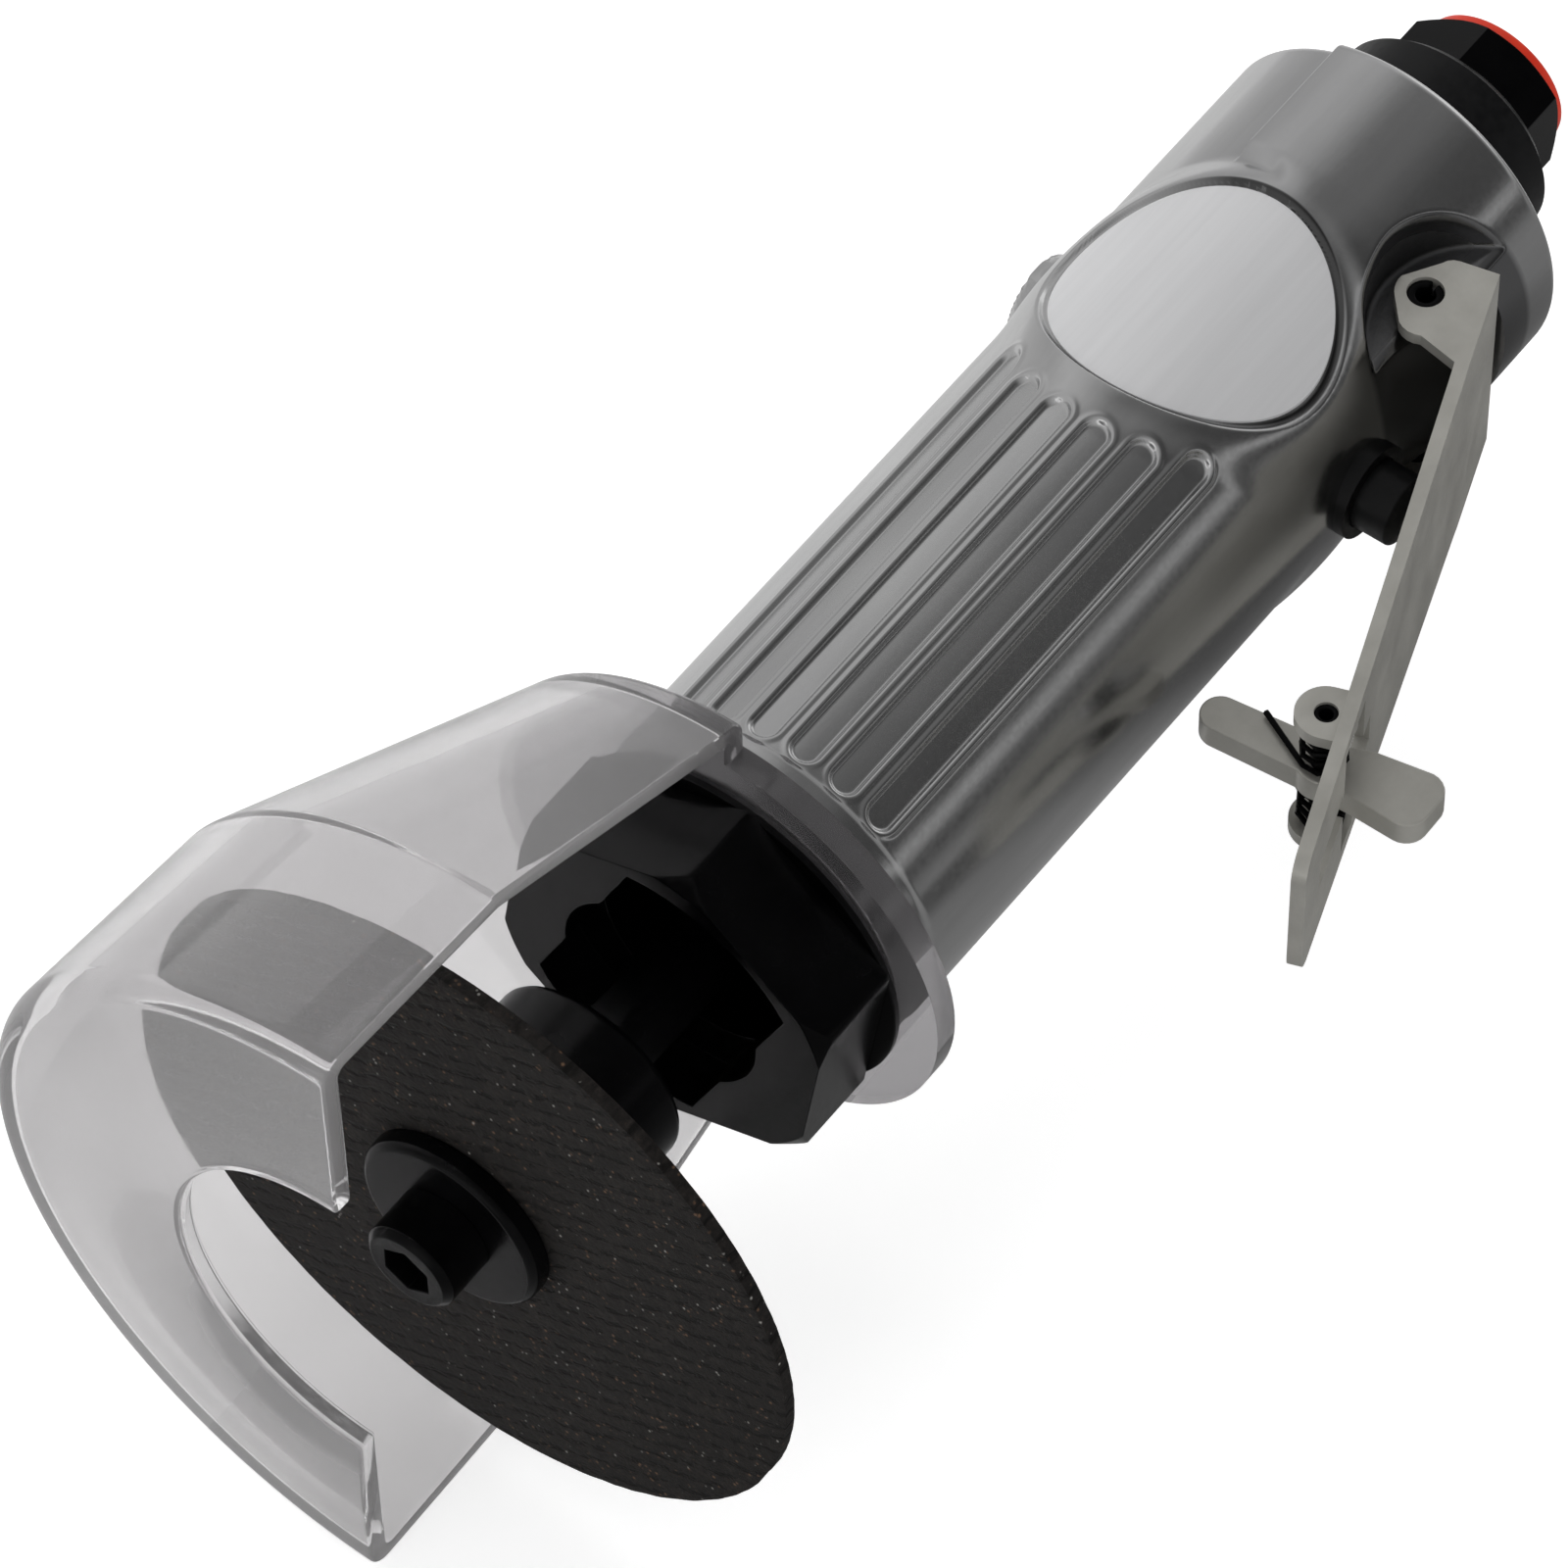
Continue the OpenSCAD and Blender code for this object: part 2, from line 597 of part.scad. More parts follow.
// A pocket on each side lets the lever's ears reach the lug
module lever_pockets() for (z = [lug_z, -lug_z - barrel_r])
    translate([pivot_x + pocket_s, -pivot_y - pocket_drop, z]) cylinder(r = pocket_r, h = barrel_r);
// Slanted seat that leaves room for the lever's web under the head
module web_relief() on_lever() translate([-throat_s - clear, -pivot_drop - barrel_r + clear, -barrel_r])
    cube([throat_s + web_s + web_room, barrel_r, 2 * barrel_r]);
module air_ways() {
    rod_x(valve_x, head_end_x, air_r);
    translate([0, -(seat_y + bush_in_y) / 2, 0]) rod_x(motor_end_x - past, valve_x, feed_r);
    for (z = [-exhaust_z, exhaust_z])
        translate([0, exhaust_y, z]) rod_x(motor_end_x - past, head_end_x + past, exhaust_r);
}
module housing() placed() color("silver") difference() {
    union() {
        barrel_form();
        plateau_form();
        flute_rims();
        label_pads();
        rod_y(valve_x, 0, boss_y, boss_r);
        rod_z(pivot, -lug_z, lug_z, pivot_drop - 2 * clear);
    }
    flute_prisms(0, barrel_r - flute_h);
    label_recesses();
    rod_x(housing_x - past, front_plate_x, nut_sleeve_r + run);
    rod_x(housing_x, motor_end_x, motor_r);
    rod_x(head_end_x - neck_l, head_end_x + past, neck_r);
    air_ways();
    rod_y(valve_x, -boss_y - past, -seat_y - seat_t, valve_bore_r);
    rod_y(valve_x, -seat_y - seat_t - past, 0, seat_r);
    rod_y(valve_x, -seat_y, boss_y + past, chamber_r);
    lever_pockets();
    web_relief();
    rod_z(pivot, -barrel_r, barrel_r, pivot_r);
}
module label_plate() placed() color("gainsboro") intersection() {
    tube_x(label_x - pad_r, label_x + pad_r, pad_top_r - recess_h + label_t, pad_top_r - recess_h);
    translate([label_x, 0, 0]) cylinder(d = label_d, h = pad_top_r + past);
}

// Front end
module clamp_nut() placed() color("#1c1c1e") difference() {
    union() {
        intersection() {
            hex_rod(nut_x, nut_x + nut_l, nut_af, nut_turn);
            turned([[0, nut_x], [nut_corner_r - nut_bevel, nut_x], [nut_corner_r, nut_x + nut_bevel],
                [nut_corner_r, nut_x + nut_l], [0, nut_x + nut_l]]);
        }
        rod_x(nut_x + nut_l - past, front_plate_x, nut_sleeve_r);
    }
    rod_x(nut_x - past, front_plate_x + past, nut_hole_r);
    rod_x(housing_x, front_plate_x + past, nut_sleeve_r - nut_sleeve_wall);
    intersection() {
        rod_x(nut_x - past, nut_x + nut_slot_h, nut_slot_r);
        rotate([nut_slot_turn, 0, 0]) translate([nut_x - past, -nut_slot_w / 2, -nut_af])
            cube([nut_slot_h + 2 * past, nut_slot_w, 2 * nut_af]);
    }
}
module guard_washer() placed() color("dimgray")
    tube_x(guard_ring_x - run - washer_t, guard_ring_x - run, washer_r, nut_sleeve_r + run);
// One wall of the guard from the front window to the rear plate, inset from the outer face
guard_slope = atan2(guard_mid_r - guard_rear_r, guard_rear_x - guard_mid_x);
function guard_cone_r(x) = guard_mid_r - (x - guard_mid_x) * tan(guard_slope);
function guard_outline(inset, x0, x1) = let (q = max(guard_round - inset, clear), r = guard_mid_r - inset)
    concat(
        [[guard_window_r, x0]],
        arc(guard_r - inset - q, x0 + q, q, -90, 0, 5),
        [[r, guard_mid_x - guard_ridge], [r - guard_step, guard_mid_x],
            [guard_cone_r(guard_mid_x + guard_ridge) - inset - guard_step, guard_mid_x + guard_ridge]],
        arc(guard_cone_r(x1 - q) - inset - q / cos(guard_slope), x1 - q, q, guard_slope, 90, 5));
guard_outer = guard_outline(0, guard_front_x, guard_rear_x);
guard_inner = guard_outline(guard_wall, guard_front_x + guard_wall, guard_ring_x);
guard_hub_r = (nut_sleeve_r + guard_ring_r) / 2;
module guard() placed() color([0.85, 0.88, 0.9, 0.4]) difference() {
    union() {
        half_turned(concat(guard_outer, [[guard_hub_r, guard_rear_x], [guard_hub_r, guard_ring_x]],
            [for (i = [len(guard_inner) - 1 : -1 : 0]) guard_inner[i]]));
        tube_x(guard_ring_x, guard_rear_x, guard_ring_r, nut_sleeve_r + clear);
    }
    rod_x(guard_ring_x - past, guard_rear_x + past, nut_sleeve_r + clear);
}

// Motor
module front_end_plate() placed() color("gray") difference() {
    rod_x(front_plate_x, liner_x, motor_r);
    rod_x(front_plate_x - past, front_plate_x + front_bearing_w, front_bearing_r);
    rod_x(front_plate_x, liner_x + past, spindle_r + 2 * clear);
    translate([0, 0, dowel_z]) rod_x(liner_x - dowel_sink, liner_x + past, dowel_r);
}
module cylinder_liner() placed() color("lightsteelblue") difference() {
    rod_x(liner_x, rear_plate_x, motor_r);
    translate([0, 0, -liner_offset]) rod_x(liner_x - past, rear_plate_x + past, liner_bore_r);
    translate([0, 0, dowel_z]) rod_x(liner_x - past, rear_plate_x + past, dowel_r);
    for (i = [0 : port_n - 1]) translate([liner_x + liner_l / 2 + (i - (port_n - 1) / 2) * port_pitch, 0, 0])
        rotate([90, 0, 0]) cylinder(r = port_r, h = motor_r + past);
}
module rear_end_plate() placed() color("gray") difference() {
    rod_x(rear_plate_x, gasket_x, motor_r);
    rod_x(rear_bearing_x, gasket_x + past, rear_bearing_r);
    rod_x(rear_plate_x - past, gasket_x, tail_r + 2 * clear);
    translate([0, 0, dowel_z]) rod_x(rear_plate_x - past, rear_plate_x + dowel_sink, dowel_r);
}
module motor_gasket() placed() color("darkslategray") difference() {
    rod_x(gasket_x, motor_end_x, motor_r);
    rod_x(gasket_x - past, motor_end_x + past, rear_bearing_r + gasket_gap);
}
module locating_pin() placed() color("silver") translate([0, 0, dowel_z])
    rod_x(liner_x - dowel_sink, rear_plate_x + dowel_sink, dowel_r);

// Bearings: races with a round groove and a ring of balls
function pitch_r(r_out, r_in) = (r_out + r_in) / 2;
function ball_r(r_out, r_in) = (r_out - r_in) / 2 * ball_share;
module groove(x, w, r_out, r_in) along_x(x + w / 2) rotate_extrude()
    translate([pitch_r(r_out, r_in), 0]) circle(r = ball_r(r_out, r_in) + run, $fn = 32);
module outer_race(x, w, r_out, r_in) color("lightgray") difference() {
    tube_x(x, x + w, r_out, pitch_r(r_out, r_in) + ball_r(r_out, r_in) * race_open);
    groove(x, w, r_out, r_in);
}
module inner_race(x, w, r_out, r_in) color("lightgray") difference() {
    tube_x(x, x + w, pitch_r(r_out, r_in) - ball_r(r_out, r_in) * race_open, r_in);
    groove(x, w, r_out, r_in);
}
module balls(x, w, r_out, r_in) color("white") for (i = [0 : ball_n - 1])
    rotate([i * 360 / ball_n, 0, 0]) translate([x + w / 2, 0, pitch_r(r_out, r_in)])
        sphere(r = ball_r(r_out, r_in), $fn = 32);
module front_bearing_outer() placed()
    outer_race(front_bearing_x, front_bearing_w, front_bearing_r, spindle_r);
module front_bearing_inner() placed()
    inner_race(front_bearing_x, front_bearing_w, front_bearing_r, spindle_r);
module front_bearing_balls() placed() balls(front_bearing_x, front_bearing_w, front_bearing_r, spindle_r);
module rear_bearing_outer() placed() outer_race(rear_bearing_x, rear_bearing_w, rear_bearing_r, tail_r);
module rear_bearing_inner() placed() inner_race(rear_bearing_x, rear_bearing_w, rear_bearing_r, tail_r);
module rear_bearing_balls() placed() balls(rear_bearing_x, rear_bearing_w, rear_bearing_r, tail_r);

// Rotor and everything clamped to it
module vane_plates(t, h, grow) for (i = [0 : vane_n - 1]) rotate([i * 360 / vane_n, 0, 0])
    translate([rotor_x - grow, -t / 2, rotor_r - h]) cube([rotor_l + 2 * grow, t, h + grow]);
module rotor() placed() color("slategray") difference() {
    union() {
        rod_x(shaft_x, rotor_x + past, spindle_r);
        rod_x(rotor_x, rotor_x + rotor_l, rotor_r);
        rod_x(rotor_x + rotor_l - past, gasket_x, tail_r);
    }
    vane_plates(vane_t + 2 * run, vane_h + run, past);
    rod_x(shaft_x - past, shaft_x + bolt_l, bolt_d / 2 + run);
}
module rotor_vanes() placed() color("saddlebrown") vane_plates(vane_t, vane_h, 0);
drive_flange_r = drive_flange_d / 2;
drive_flange_end_x = drive_x + drive_flange_l;
module drive_flange() placed() color("#242426") difference() {
    turned(concat([[0, spigot_sink], [spigot_d / 2, spigot_sink], [spigot_d / 2, drive_x],
        [drive_flange_r - drive_flange_bevel, drive_x], [drive_flange_r, drive_x + drive_flange_bevel]],
        arc(drive_flange_r - drive_flange_round, drive_flange_end_x - drive_flange_round,
            drive_flange_round, 0, 90, 4),
        [[0, drive_flange_end_x]]));
    rod_x(-past, shaft_x + past, bolt_d / 2 + run);
    rod_x(shaft_x, drive_flange_end_x + past, spindle_r);
}
module cutting_disc() placed() color("#3a3330") tube_x(0, disc_t, disc_d / 2, spigot_d / 2 + run);
outer_flange_r = outer_flange_d / 2;
module outer_flange() placed() color("#242426") difference() {
    turned([[0, -outer_flange_t], [outer_flange_r - outer_flange_bevel, -outer_flange_t],
        [outer_flange_r, -outer_flange_t + outer_flange_bevel], [outer_flange_r, 0], [0, 0]]);
    rod_x(-outer_flange_t - past, past, bolt_d / 2 + run);
}
bolt_head_r = bolt_head_d / 2;
module disc_bolt() placed() color("#1c1c1e") difference() {
    union() {
        turned([[0, bolt_x], [bolt_head_r - bolt_bevel, bolt_x], [bolt_head_r, bolt_x + bolt_bevel],
            [bolt_head_r, -outer_flange_t], [0, -outer_flange_t]]);
        rod_x(-outer_flange_t - past, -outer_flange_t + bolt_l, bolt_d / 2);
    }
    hex_rod(bolt_x - past, bolt_x + socket_h, socket_af, 0);
}

// Throttle valve
module bush_groove(r) along_y(valve_x, -seal_y) rotate_extrude()
    translate([stem_r + seal_r + run, 0]) circle(r = r, $fn = 32);
module valve_bushing() placed() color("#202022") difference() {
    rod_y(valve_x, -bush_out_y, -bush_in_y, valve_bore_r);
    rod_y(valve_x, -bush_out_y - past, -bush_in_y + past, stem_r + run);
    bush_groove(seal_r + run);
}
module stem_seal() placed() color("black") bush_groove(seal_r - run);
module valve_stem() placed() color("#202022") along_y(valve_x, 0) rotate_extrude() polygon([
    [0, stem_tip_y], [stem_r - stem_chamfer, stem_tip_y], [stem_r, stem_tip_y + stem_tip_l],
    [stem_r, -bush_in_y - stem_shoulder], [seat_r / 2, -bush_in_y - stem_shoulder],
    [seat_r / 2, -seat_y + run], [poppet_r, -seat_y + run],
    [poppet_r, -seat_y + run + poppet_t], [0, -seat_y + run + poppet_t]]);
valve_path = coil_path(poppet_r - valve_wire, (spring_y1 - spring_y0) / valve_curls, 0, 360 * valve_curls,
    valve_leg_l, valve_leg_l);
module valve_spring() placed() color("gray") along_y(valve_x, spring_y0) wire(valve_path, valve_wire / 2);
module regulator_groove(r) along_y(valve_x, regulator_seal_y) rotate_extrude()
    translate([chamber_r - seal_r - run, 0]) circle(r = r, $fn = 32);
module regulator_screw() placed() color("#2a2a2c") difference() {
    rod_y(valve_x, regulator_in_y, regulator_y, chamber_r - run);
    regulator_groove(seal_r + run);
    translate([valve_x - regulator_slot / 2, regulator_y - regulator_slot_h, -chamber_r])
        cube([regulator_slot, regulator_slot_h + past, 2 * chamber_r]);
}
module regulator_seal() placed() color("black") regulator_groove(seal_r - run);

// Lever
module on_lever() translate([pivot[0], pivot[1], 0]) rotate([0, 0, lever_angle]) children();
// Seen from above the strip: the first value runs to the rear, the second across
function strip_side(s) = strip_w + clear + (s + latch_s + clevis_r) * strip_taper;
round_s = lever_round - lever_l;
flare_s = -throat_s - throat_flare;
module strip_half() {
    polygon([[round_s, 0], [round_s, strip_side(round_s)], [flare_s, strip_side(flare_s)],
        [-throat_s - throat_flare / 3, (strip_side(flare_s) + ear_z) / 2], [-throat_s, ear_z],
        [web_s, ear_z], [web_s, 0]]);
    translate([-lever_l, 0]) square([lever_round + eps, strip_side(round_s) - lever_round]);
    translate([round_s, strip_side(round_s) - lever_round]) circle(r = lever_round);
}
module strip_shape() difference() {
    for (side = [0, 1]) mirror([0, side]) strip_half();
    translate([-latch_s - slot_front, -slot_w / 2]) square([slot_front + slot_rear, slot_w]);
    translate([-latch_s - coil_window, -clevis_z]) square([2 * coil_window, 2 * clevis_z]);
}
// One ear: round at the pivot, widening to the web
module ear_shape() polygon(concat(
    [[web_s, -pivot_drop - lever_t]],
    arc(ear_rear - ear_rear_round, -ear_rear_drop, ear_rear_round, -10, 55, 3),
    arc(0, 0, ear_r, 65, 115, 5),
    arc(ear_front_round - ear_front, -ear_front_drop, ear_front_round, 125, 190, 4),
    [[-throat_s, -pivot_drop], [-throat_s, -pivot_drop - lever_t]]));
module clevis_ear_shape() translate([-latch_s, -pivot_drop]) {
    translate([0, latch_h]) circle(r = clevis_r);
    translate([-clevis_r, -lever_t]) square([2 * clevis_r, latch_h + lever_t]);
}
module lever() placed() color("gainsboro") on_lever() difference() {
    union() {
        translate([0, -pivot_drop, 0]) rotate([90, 0, 0]) linear_extrude(lever_t) strip_shape();
        for (z = [ear_z - lever_t, -ear_z]) translate([0, 0, z]) linear_extrude(lever_t) ear_shape();
        for (z = [clevis_z, -strip_w]) translate([0, 0, z]) linear_extrude(lever_t) clevis_ear_shape();
    }
    translate([0, 0, -ear_z - past]) cylinder(r = pivot_r + run, h = 2 * (ear_z + past));
    translate([-latch_s, latch_h - pivot_drop, -ear_z]) cylinder(r = latch_pin_r, h = 2 * ear_z);
}
module lever_pin() placed() color("#2b2b2d") difference() {
    rod_z(pivot, pivot_sink - ear_z, ear_z - pivot_sink, pivot_r);
    rod_z(pivot, -ear_z, ear_z, pivot_r - pivot_wall);
    translate([pivot[0], pivot[1] - pivot_slit / 2, -ear_z]) cube([pivot_r + past, pivot_slit, 2 * ear_z]);
}

// Safety latch, drawn about its pin with the arm towards the barrel
latch_round_y = latch_arm_l - latch_arm_w / 2;
module latch_shape() difference() {
    union() {
        circle(r = clevis_r - clear);
        rotate([0, 0, latch_tilt]) {
            polygon([[-latch_root_w / 2, 0], [latch_root_w / 2, 0],
                [latch_arm_w / 2, latch_round_y], [-latch_arm_w / 2, latch_round_y]]);
            translate([0, latch_round_y]) circle(d = latch_arm_w);
        }
        polygon(concat([[-latch_root_w / 2, 0], [thumb_shift - thumb_w / 2, -thumb_front]],
            arc(thumb_shift - thumb_w / 2 + thumb_round, thumb_round - thumb_l, thumb_round, 180, 270, 6),
            arc(thumb_shift + thumb_w / 2 - thumb_round, thumb_round - thumb_l, thumb_round, -80, 20, 6),
            [[thumb_shift + thumb_w / 3, -thumb_rear], [latch_root_w / 2, 0]]));
    }
    circle(r = latch_pin_r + run);
}
module safety_latch() placed() color("gainsboro") translate([latch_at[0], latch_at[1], -latch_t / 2])
    linear_extrude(latch_t) latch_shape();
module latch_pin() placed() color("#2b2b2d") difference() {
    rod_z(latch_at, clear - strip_w, strip_w - clear, latch_pin_r);
    rod_z(latch_at, -strip_w, strip_w, latch_pin_r - latch_pin_wall);
}
// Each coil has a leg over the arm and one to the strip
latch_path = coil_path(latch_coil_r, latch_coil_h * 360 / (latch_a1 - latch_a0), latch_a0, latch_a1,
    latch_leg_l, latch_foot_l);
module latch_spring() placed() color("#222224") for (side = [0, 1]) mirror([0, 0, side])
    translate([latch_at[0], latch_at[1], latch_coil_z]) wire(latch_path, latch_wire / 2);
echo(latch_spring_gap = wire_gap(latch_path, latch_wire));
echo(valve_spring_gap = wire_gap(valve_path, valve_wire));

// Exhaust and air inlet
deflector_end_x = deflector_x + deflector_l;
module exhaust_deflector() placed() color("#1e1e20") difference() {
    turned(concat([[0, deflector_x]],
        arc(deflector_r - deflector_round, deflector_x + deflector_round, deflector_round, -90, 0, 4),
        [[deflector_r, deflector_end_x - deflector_bevel], [deflector_r - deflector_bevel, deflector_end_x],
            [0, deflector_end_x]]));
    rod_x(deflector_x - past, deflector_end_x + past, neck_r + run);
    rod_x(deflector_x - past, deflector_end_x - deflector_wall, deflector_r - deflector_wall);
    for (i = [0 : vent_n - 1]) rotate([(i - (vent_n - 1) / 2) * vent_pitch, 0, 0])
        rod_y(deflector_x + deflector_l / 2, deflector_r - 2 * deflector_wall, deflector_r + past,
            vent_d / 2);
}
silencer_end_x = deflector_end_x - deflector_wall - run;
module silencer_pad() placed() color("tan")
    tube_x(silencer_end_x - silencer_t, silencer_end_x, deflector_r - deflector_wall - run, neck_r + clear);
inlet_flat_r = inlet_af / 2;
inlet_corner_r = inlet_flat_r + inlet_crown;
module inlet_bushing() placed() color("#1c1c1e") difference() {
    union() {
        rod_x(head_end_x - neck_l, hex_x + past, neck_r);
        intersection() {
            hex_rod(hex_x, mouth_x, inlet_af, 0);
            turned([[0, hex_x], [inlet_flat_r, hex_x], [inlet_corner_r, hex_x + inlet_crown_l],
                [inlet_corner_r, mouth_x - inlet_crown_l], [inlet_flat_r, mouth_x], [0, mouth_x]]);
        }
    }
    rod_x(mouth_x - inlet_depth, mouth_x + past, inlet_r);
    rod_x(strainer_x, mouth_x, strainer_seat_r);
    rod_x(head_end_x - neck_l - past, mouth_x, air_r);
}
module inlet_strainer() placed() color("gray") difference() {
    rod_x(strainer_x, strainer_x + strainer_t, strainer_seat_r - run);
    for (ring = strainer_rings, i = [0 : ring[1] - 1]) rotate([i * 360 / ring[1], 0, 0])
        translate([0, 0, ring[0] * strainer_seat_r])
            rod_x(strainer_x - past, strainer_x + strainer_t + past, strainer_hole_r);
}
module inlet_ring() placed() color("red") tube_x(mouth_x, mouth_x + ring_t, ring_r, inlet_r + clear);

housing();
label_plate();
clamp_nut();
guard_washer();
guard();
front_end_plate();
cylinder_liner();
rear_end_plate();
motor_gasket();
locating_pin();
front_bearing_outer();
front_bearing_inner();
front_bearing_balls();
rear_bearing_outer();
rear_bearing_inner();
rear_bearing_balls();
rotor();
rotor_vanes();
drive_flange();
cutting_disc();
outer_flange();
disc_bolt();
valve_bushing();
valve_stem();
stem_seal();
valve_spring();
regulator_screw();
regulator_seal();
lever();
lever_pin();
safety_latch();
latch_pin();
latch_spring();
exhaust_deflector();
silencer_pad();
inlet_bushing();
inlet_strainer();
inlet_ring();
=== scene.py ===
"""Looks of a pneumatic cut off tool: a fluted cast barrel, a clear half guard, a thin disc and a lever."""
import json
import math
import bmesh
import bpy
import numpy as np
from mathutils import Matrix, Vector

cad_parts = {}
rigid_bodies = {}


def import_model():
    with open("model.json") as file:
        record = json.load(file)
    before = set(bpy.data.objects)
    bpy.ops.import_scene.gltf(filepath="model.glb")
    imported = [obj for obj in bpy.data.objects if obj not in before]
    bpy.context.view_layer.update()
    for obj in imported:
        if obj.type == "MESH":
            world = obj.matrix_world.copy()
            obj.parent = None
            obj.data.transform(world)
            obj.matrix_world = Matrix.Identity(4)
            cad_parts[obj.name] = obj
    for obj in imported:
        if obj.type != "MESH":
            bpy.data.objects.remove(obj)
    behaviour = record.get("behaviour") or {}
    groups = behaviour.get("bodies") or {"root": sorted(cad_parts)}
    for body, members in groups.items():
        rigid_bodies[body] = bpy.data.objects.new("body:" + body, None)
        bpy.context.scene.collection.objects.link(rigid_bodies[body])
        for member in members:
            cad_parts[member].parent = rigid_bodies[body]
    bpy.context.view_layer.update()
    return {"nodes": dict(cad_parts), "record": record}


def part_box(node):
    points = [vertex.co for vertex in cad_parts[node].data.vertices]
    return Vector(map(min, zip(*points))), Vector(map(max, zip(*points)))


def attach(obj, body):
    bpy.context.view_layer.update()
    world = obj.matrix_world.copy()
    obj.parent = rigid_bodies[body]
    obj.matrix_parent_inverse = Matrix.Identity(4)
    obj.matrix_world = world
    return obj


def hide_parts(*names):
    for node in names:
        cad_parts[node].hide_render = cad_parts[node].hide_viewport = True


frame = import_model()
MM = 0.001

# The photograph's camera, placed in mm behind the disc's front face
IMAGE_PX = 1600
FOCAL_PX = 9000
SENSOR_MM = 36
CAMERA_AT = (-327.7, -297.8, 690.0)
LOOK = Vector((0.4540, 0.3582, -0.8158))
RIGHT = Vector((0.6024, -0.7980, -0.0152))

DISC_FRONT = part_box("cutting_disc")[0][0]


def at(x, y=0.0, z=0.0):
    """A point in mm behind the disc's front face, as metres in the frame."""
    return Vector((DISC_FRONT + x * MM, y * MM, z * MM))


def stations(points):
    """An array of mm points behind the disc's front face, as metres in the frame."""
    return np.asarray(points, float) * MM + np.array([DISC_FRONT, 0, 0])


def make_camera():
    data = bpy.data.cameras.new("photo_camera")
    data.sensor_width = SENSOR_MM
    data.lens = FOCAL_PX / IMAGE_PX * SENSOR_MM
    data.clip_start = 0.05
    data.clip_end = 20
    camera = link_object("photo_camera", data)
    look = LOOK.normalized()
    right = (RIGHT - look * RIGHT.dot(look)).normalized()
    up = right.cross(look)
    turn = Matrix((right, up, -look)).transposed().to_4x4()
    camera.matrix_world = Matrix.Translation(at(*CAMERA_AT)) @ turn
    bpy.context.scene.camera = camera


# Materials
class Shader:
    """One material's node tree, with short calls for the nodes that the looks share.

    A noise or a cell pattern is scaled in lumps per metre, and a bump's depth is in mm.
    """

    def __init__(self, name, **sockets):
        self.material = bpy.data.materials.new(name)
        self.material.use_nodes = True
        self.tree = self.material.node_tree
        self.surface = self.tree.nodes["Principled BSDF"]
        for key, value in sockets.items():
            self.surface.inputs[key.replace("_", " ")].default_value = value
        self.place = self.tree.nodes.new("ShaderNodeTexCoord").outputs["Object"]

    def node(self, kind, **settings):
        made = self.tree.nodes.new("ShaderNode" + kind)
        for key, value in settings.items():
            setattr(made, key, value)
        return made

    def link(self, source, target):
        self.tree.links.new(source, target)

    def scaled(self, scale):
        mapping = self.node("Mapping")
        mapping.inputs["Scale"].default_value = scale
        self.link(self.place, mapping.inputs["Vector"])
        return mapping.outputs["Vector"]

    def axes(self, vector):
        """The vector's X, Y and Z."""
        apart = self.node("SeparateXYZ")
        self.link(vector, apart.inputs["Vector"])
        return [apart.outputs[axis] for axis in "XYZ"]

    def vector(self, **axes):
        """A vector from the axes that are given, and 0 along the others."""
        made = self.node("CombineXYZ")
        for axis, value in axes.items():
            self.link(value, made.inputs[axis])
        return made.outputs["Vector"]

    def noise(self, scale, detail, rough=0.5, stretch=(1, 1, 1), vector=None):
        made = self.node("TexNoise")
        made.inputs["Scale"].default_value = scale
        made.inputs["Detail"].default_value = detail
        made.inputs["Roughness"].default_value = rough
        self.link(vector or self.scaled(stretch), made.inputs["Vector"])
        return made.outputs["Fac"]

    def cells(self, scale, stretch=(1, 1, 1)):
        made = self.node("TexVoronoi")
        made.inputs["Scale"].default_value = scale
        self.link(self.scaled(stretch), made.inputs["Vector"])
        return made.outputs["Distance"]

    def spread(self, value, low, high, start=0.3, end=0.7):
        """From low at the start to high at the end, and level outside them."""
        made = self.node("MapRange")
        made.inputs["From Min"].default_value = start
        made.inputs["From Max"].default_value = end
        made.inputs["To Min"].default_value = low
        made.inputs["To Max"].default_value = high
        self.link(value, made.inputs["Value"])
        return made.outputs["Result"]

    def within(self, distance, fade_mm, full=1):
        """Full up to the first of two distances in mm, and gone from the second."""
        return self.spread(distance, full, 0, fade_mm[0] * MM, fade_mm[1] * MM)

    def beyond(self, distance, fade_mm):
        """Nothing up to the first of two distances in mm, and full from the second."""
        return self.spread(distance, 0, 1, fade_mm[0] * MM, fade_mm[1] * MM)

    def math(self, kind, first, second=0):
        made = self.node("Math", operation=kind)
        for socket, value in zip(made.inputs, (first, second)):
            if isinstance(value, (int, float)):
                socket.default_value = value
            else:
                self.link(value, socket)
        return made.outputs["Value"]

    def length(self, first, second):
        made = self.node("VectorMath", operation="LENGTH")
        self.link(self.vector(X=first, Y=second), made.inputs[0])
        return made.outputs["Value"]

    def mix(self, factor, first, second):
        made = self.node("Mix", data_type="RGBA")
        for key, value in (("Factor", factor), ("A", first), ("B", second)):
            socket = made.inputs[key]
            if isinstance(value, (int, float)):
                socket.default_value = value
            elif isinstance(value, tuple):
                socket.default_value = (*value, 1)
            else:
                self.link(value, socket)
        return made.outputs["Result"]

    def bump(self, height, depth_mm, strength, under=None):
        made = self.node("Bump")
        made.inputs["Strength"].default_value = strength
        made.inputs["Distance"].default_value = depth_mm * MM
        self.link(height, made.inputs["Height"])
        if under:
            self.link(under, made.inputs["Normal"])
        return made.outputs["Normal"]

    def colour(self, value):
        self.link(value, self.surface.inputs["Base Color"])

    def roughness(self, value):
        self.link(value, self.surface.inputs["Roughness"])

    def normal(self, value):
        self.link(value, self.surface.inputs["Normal"])


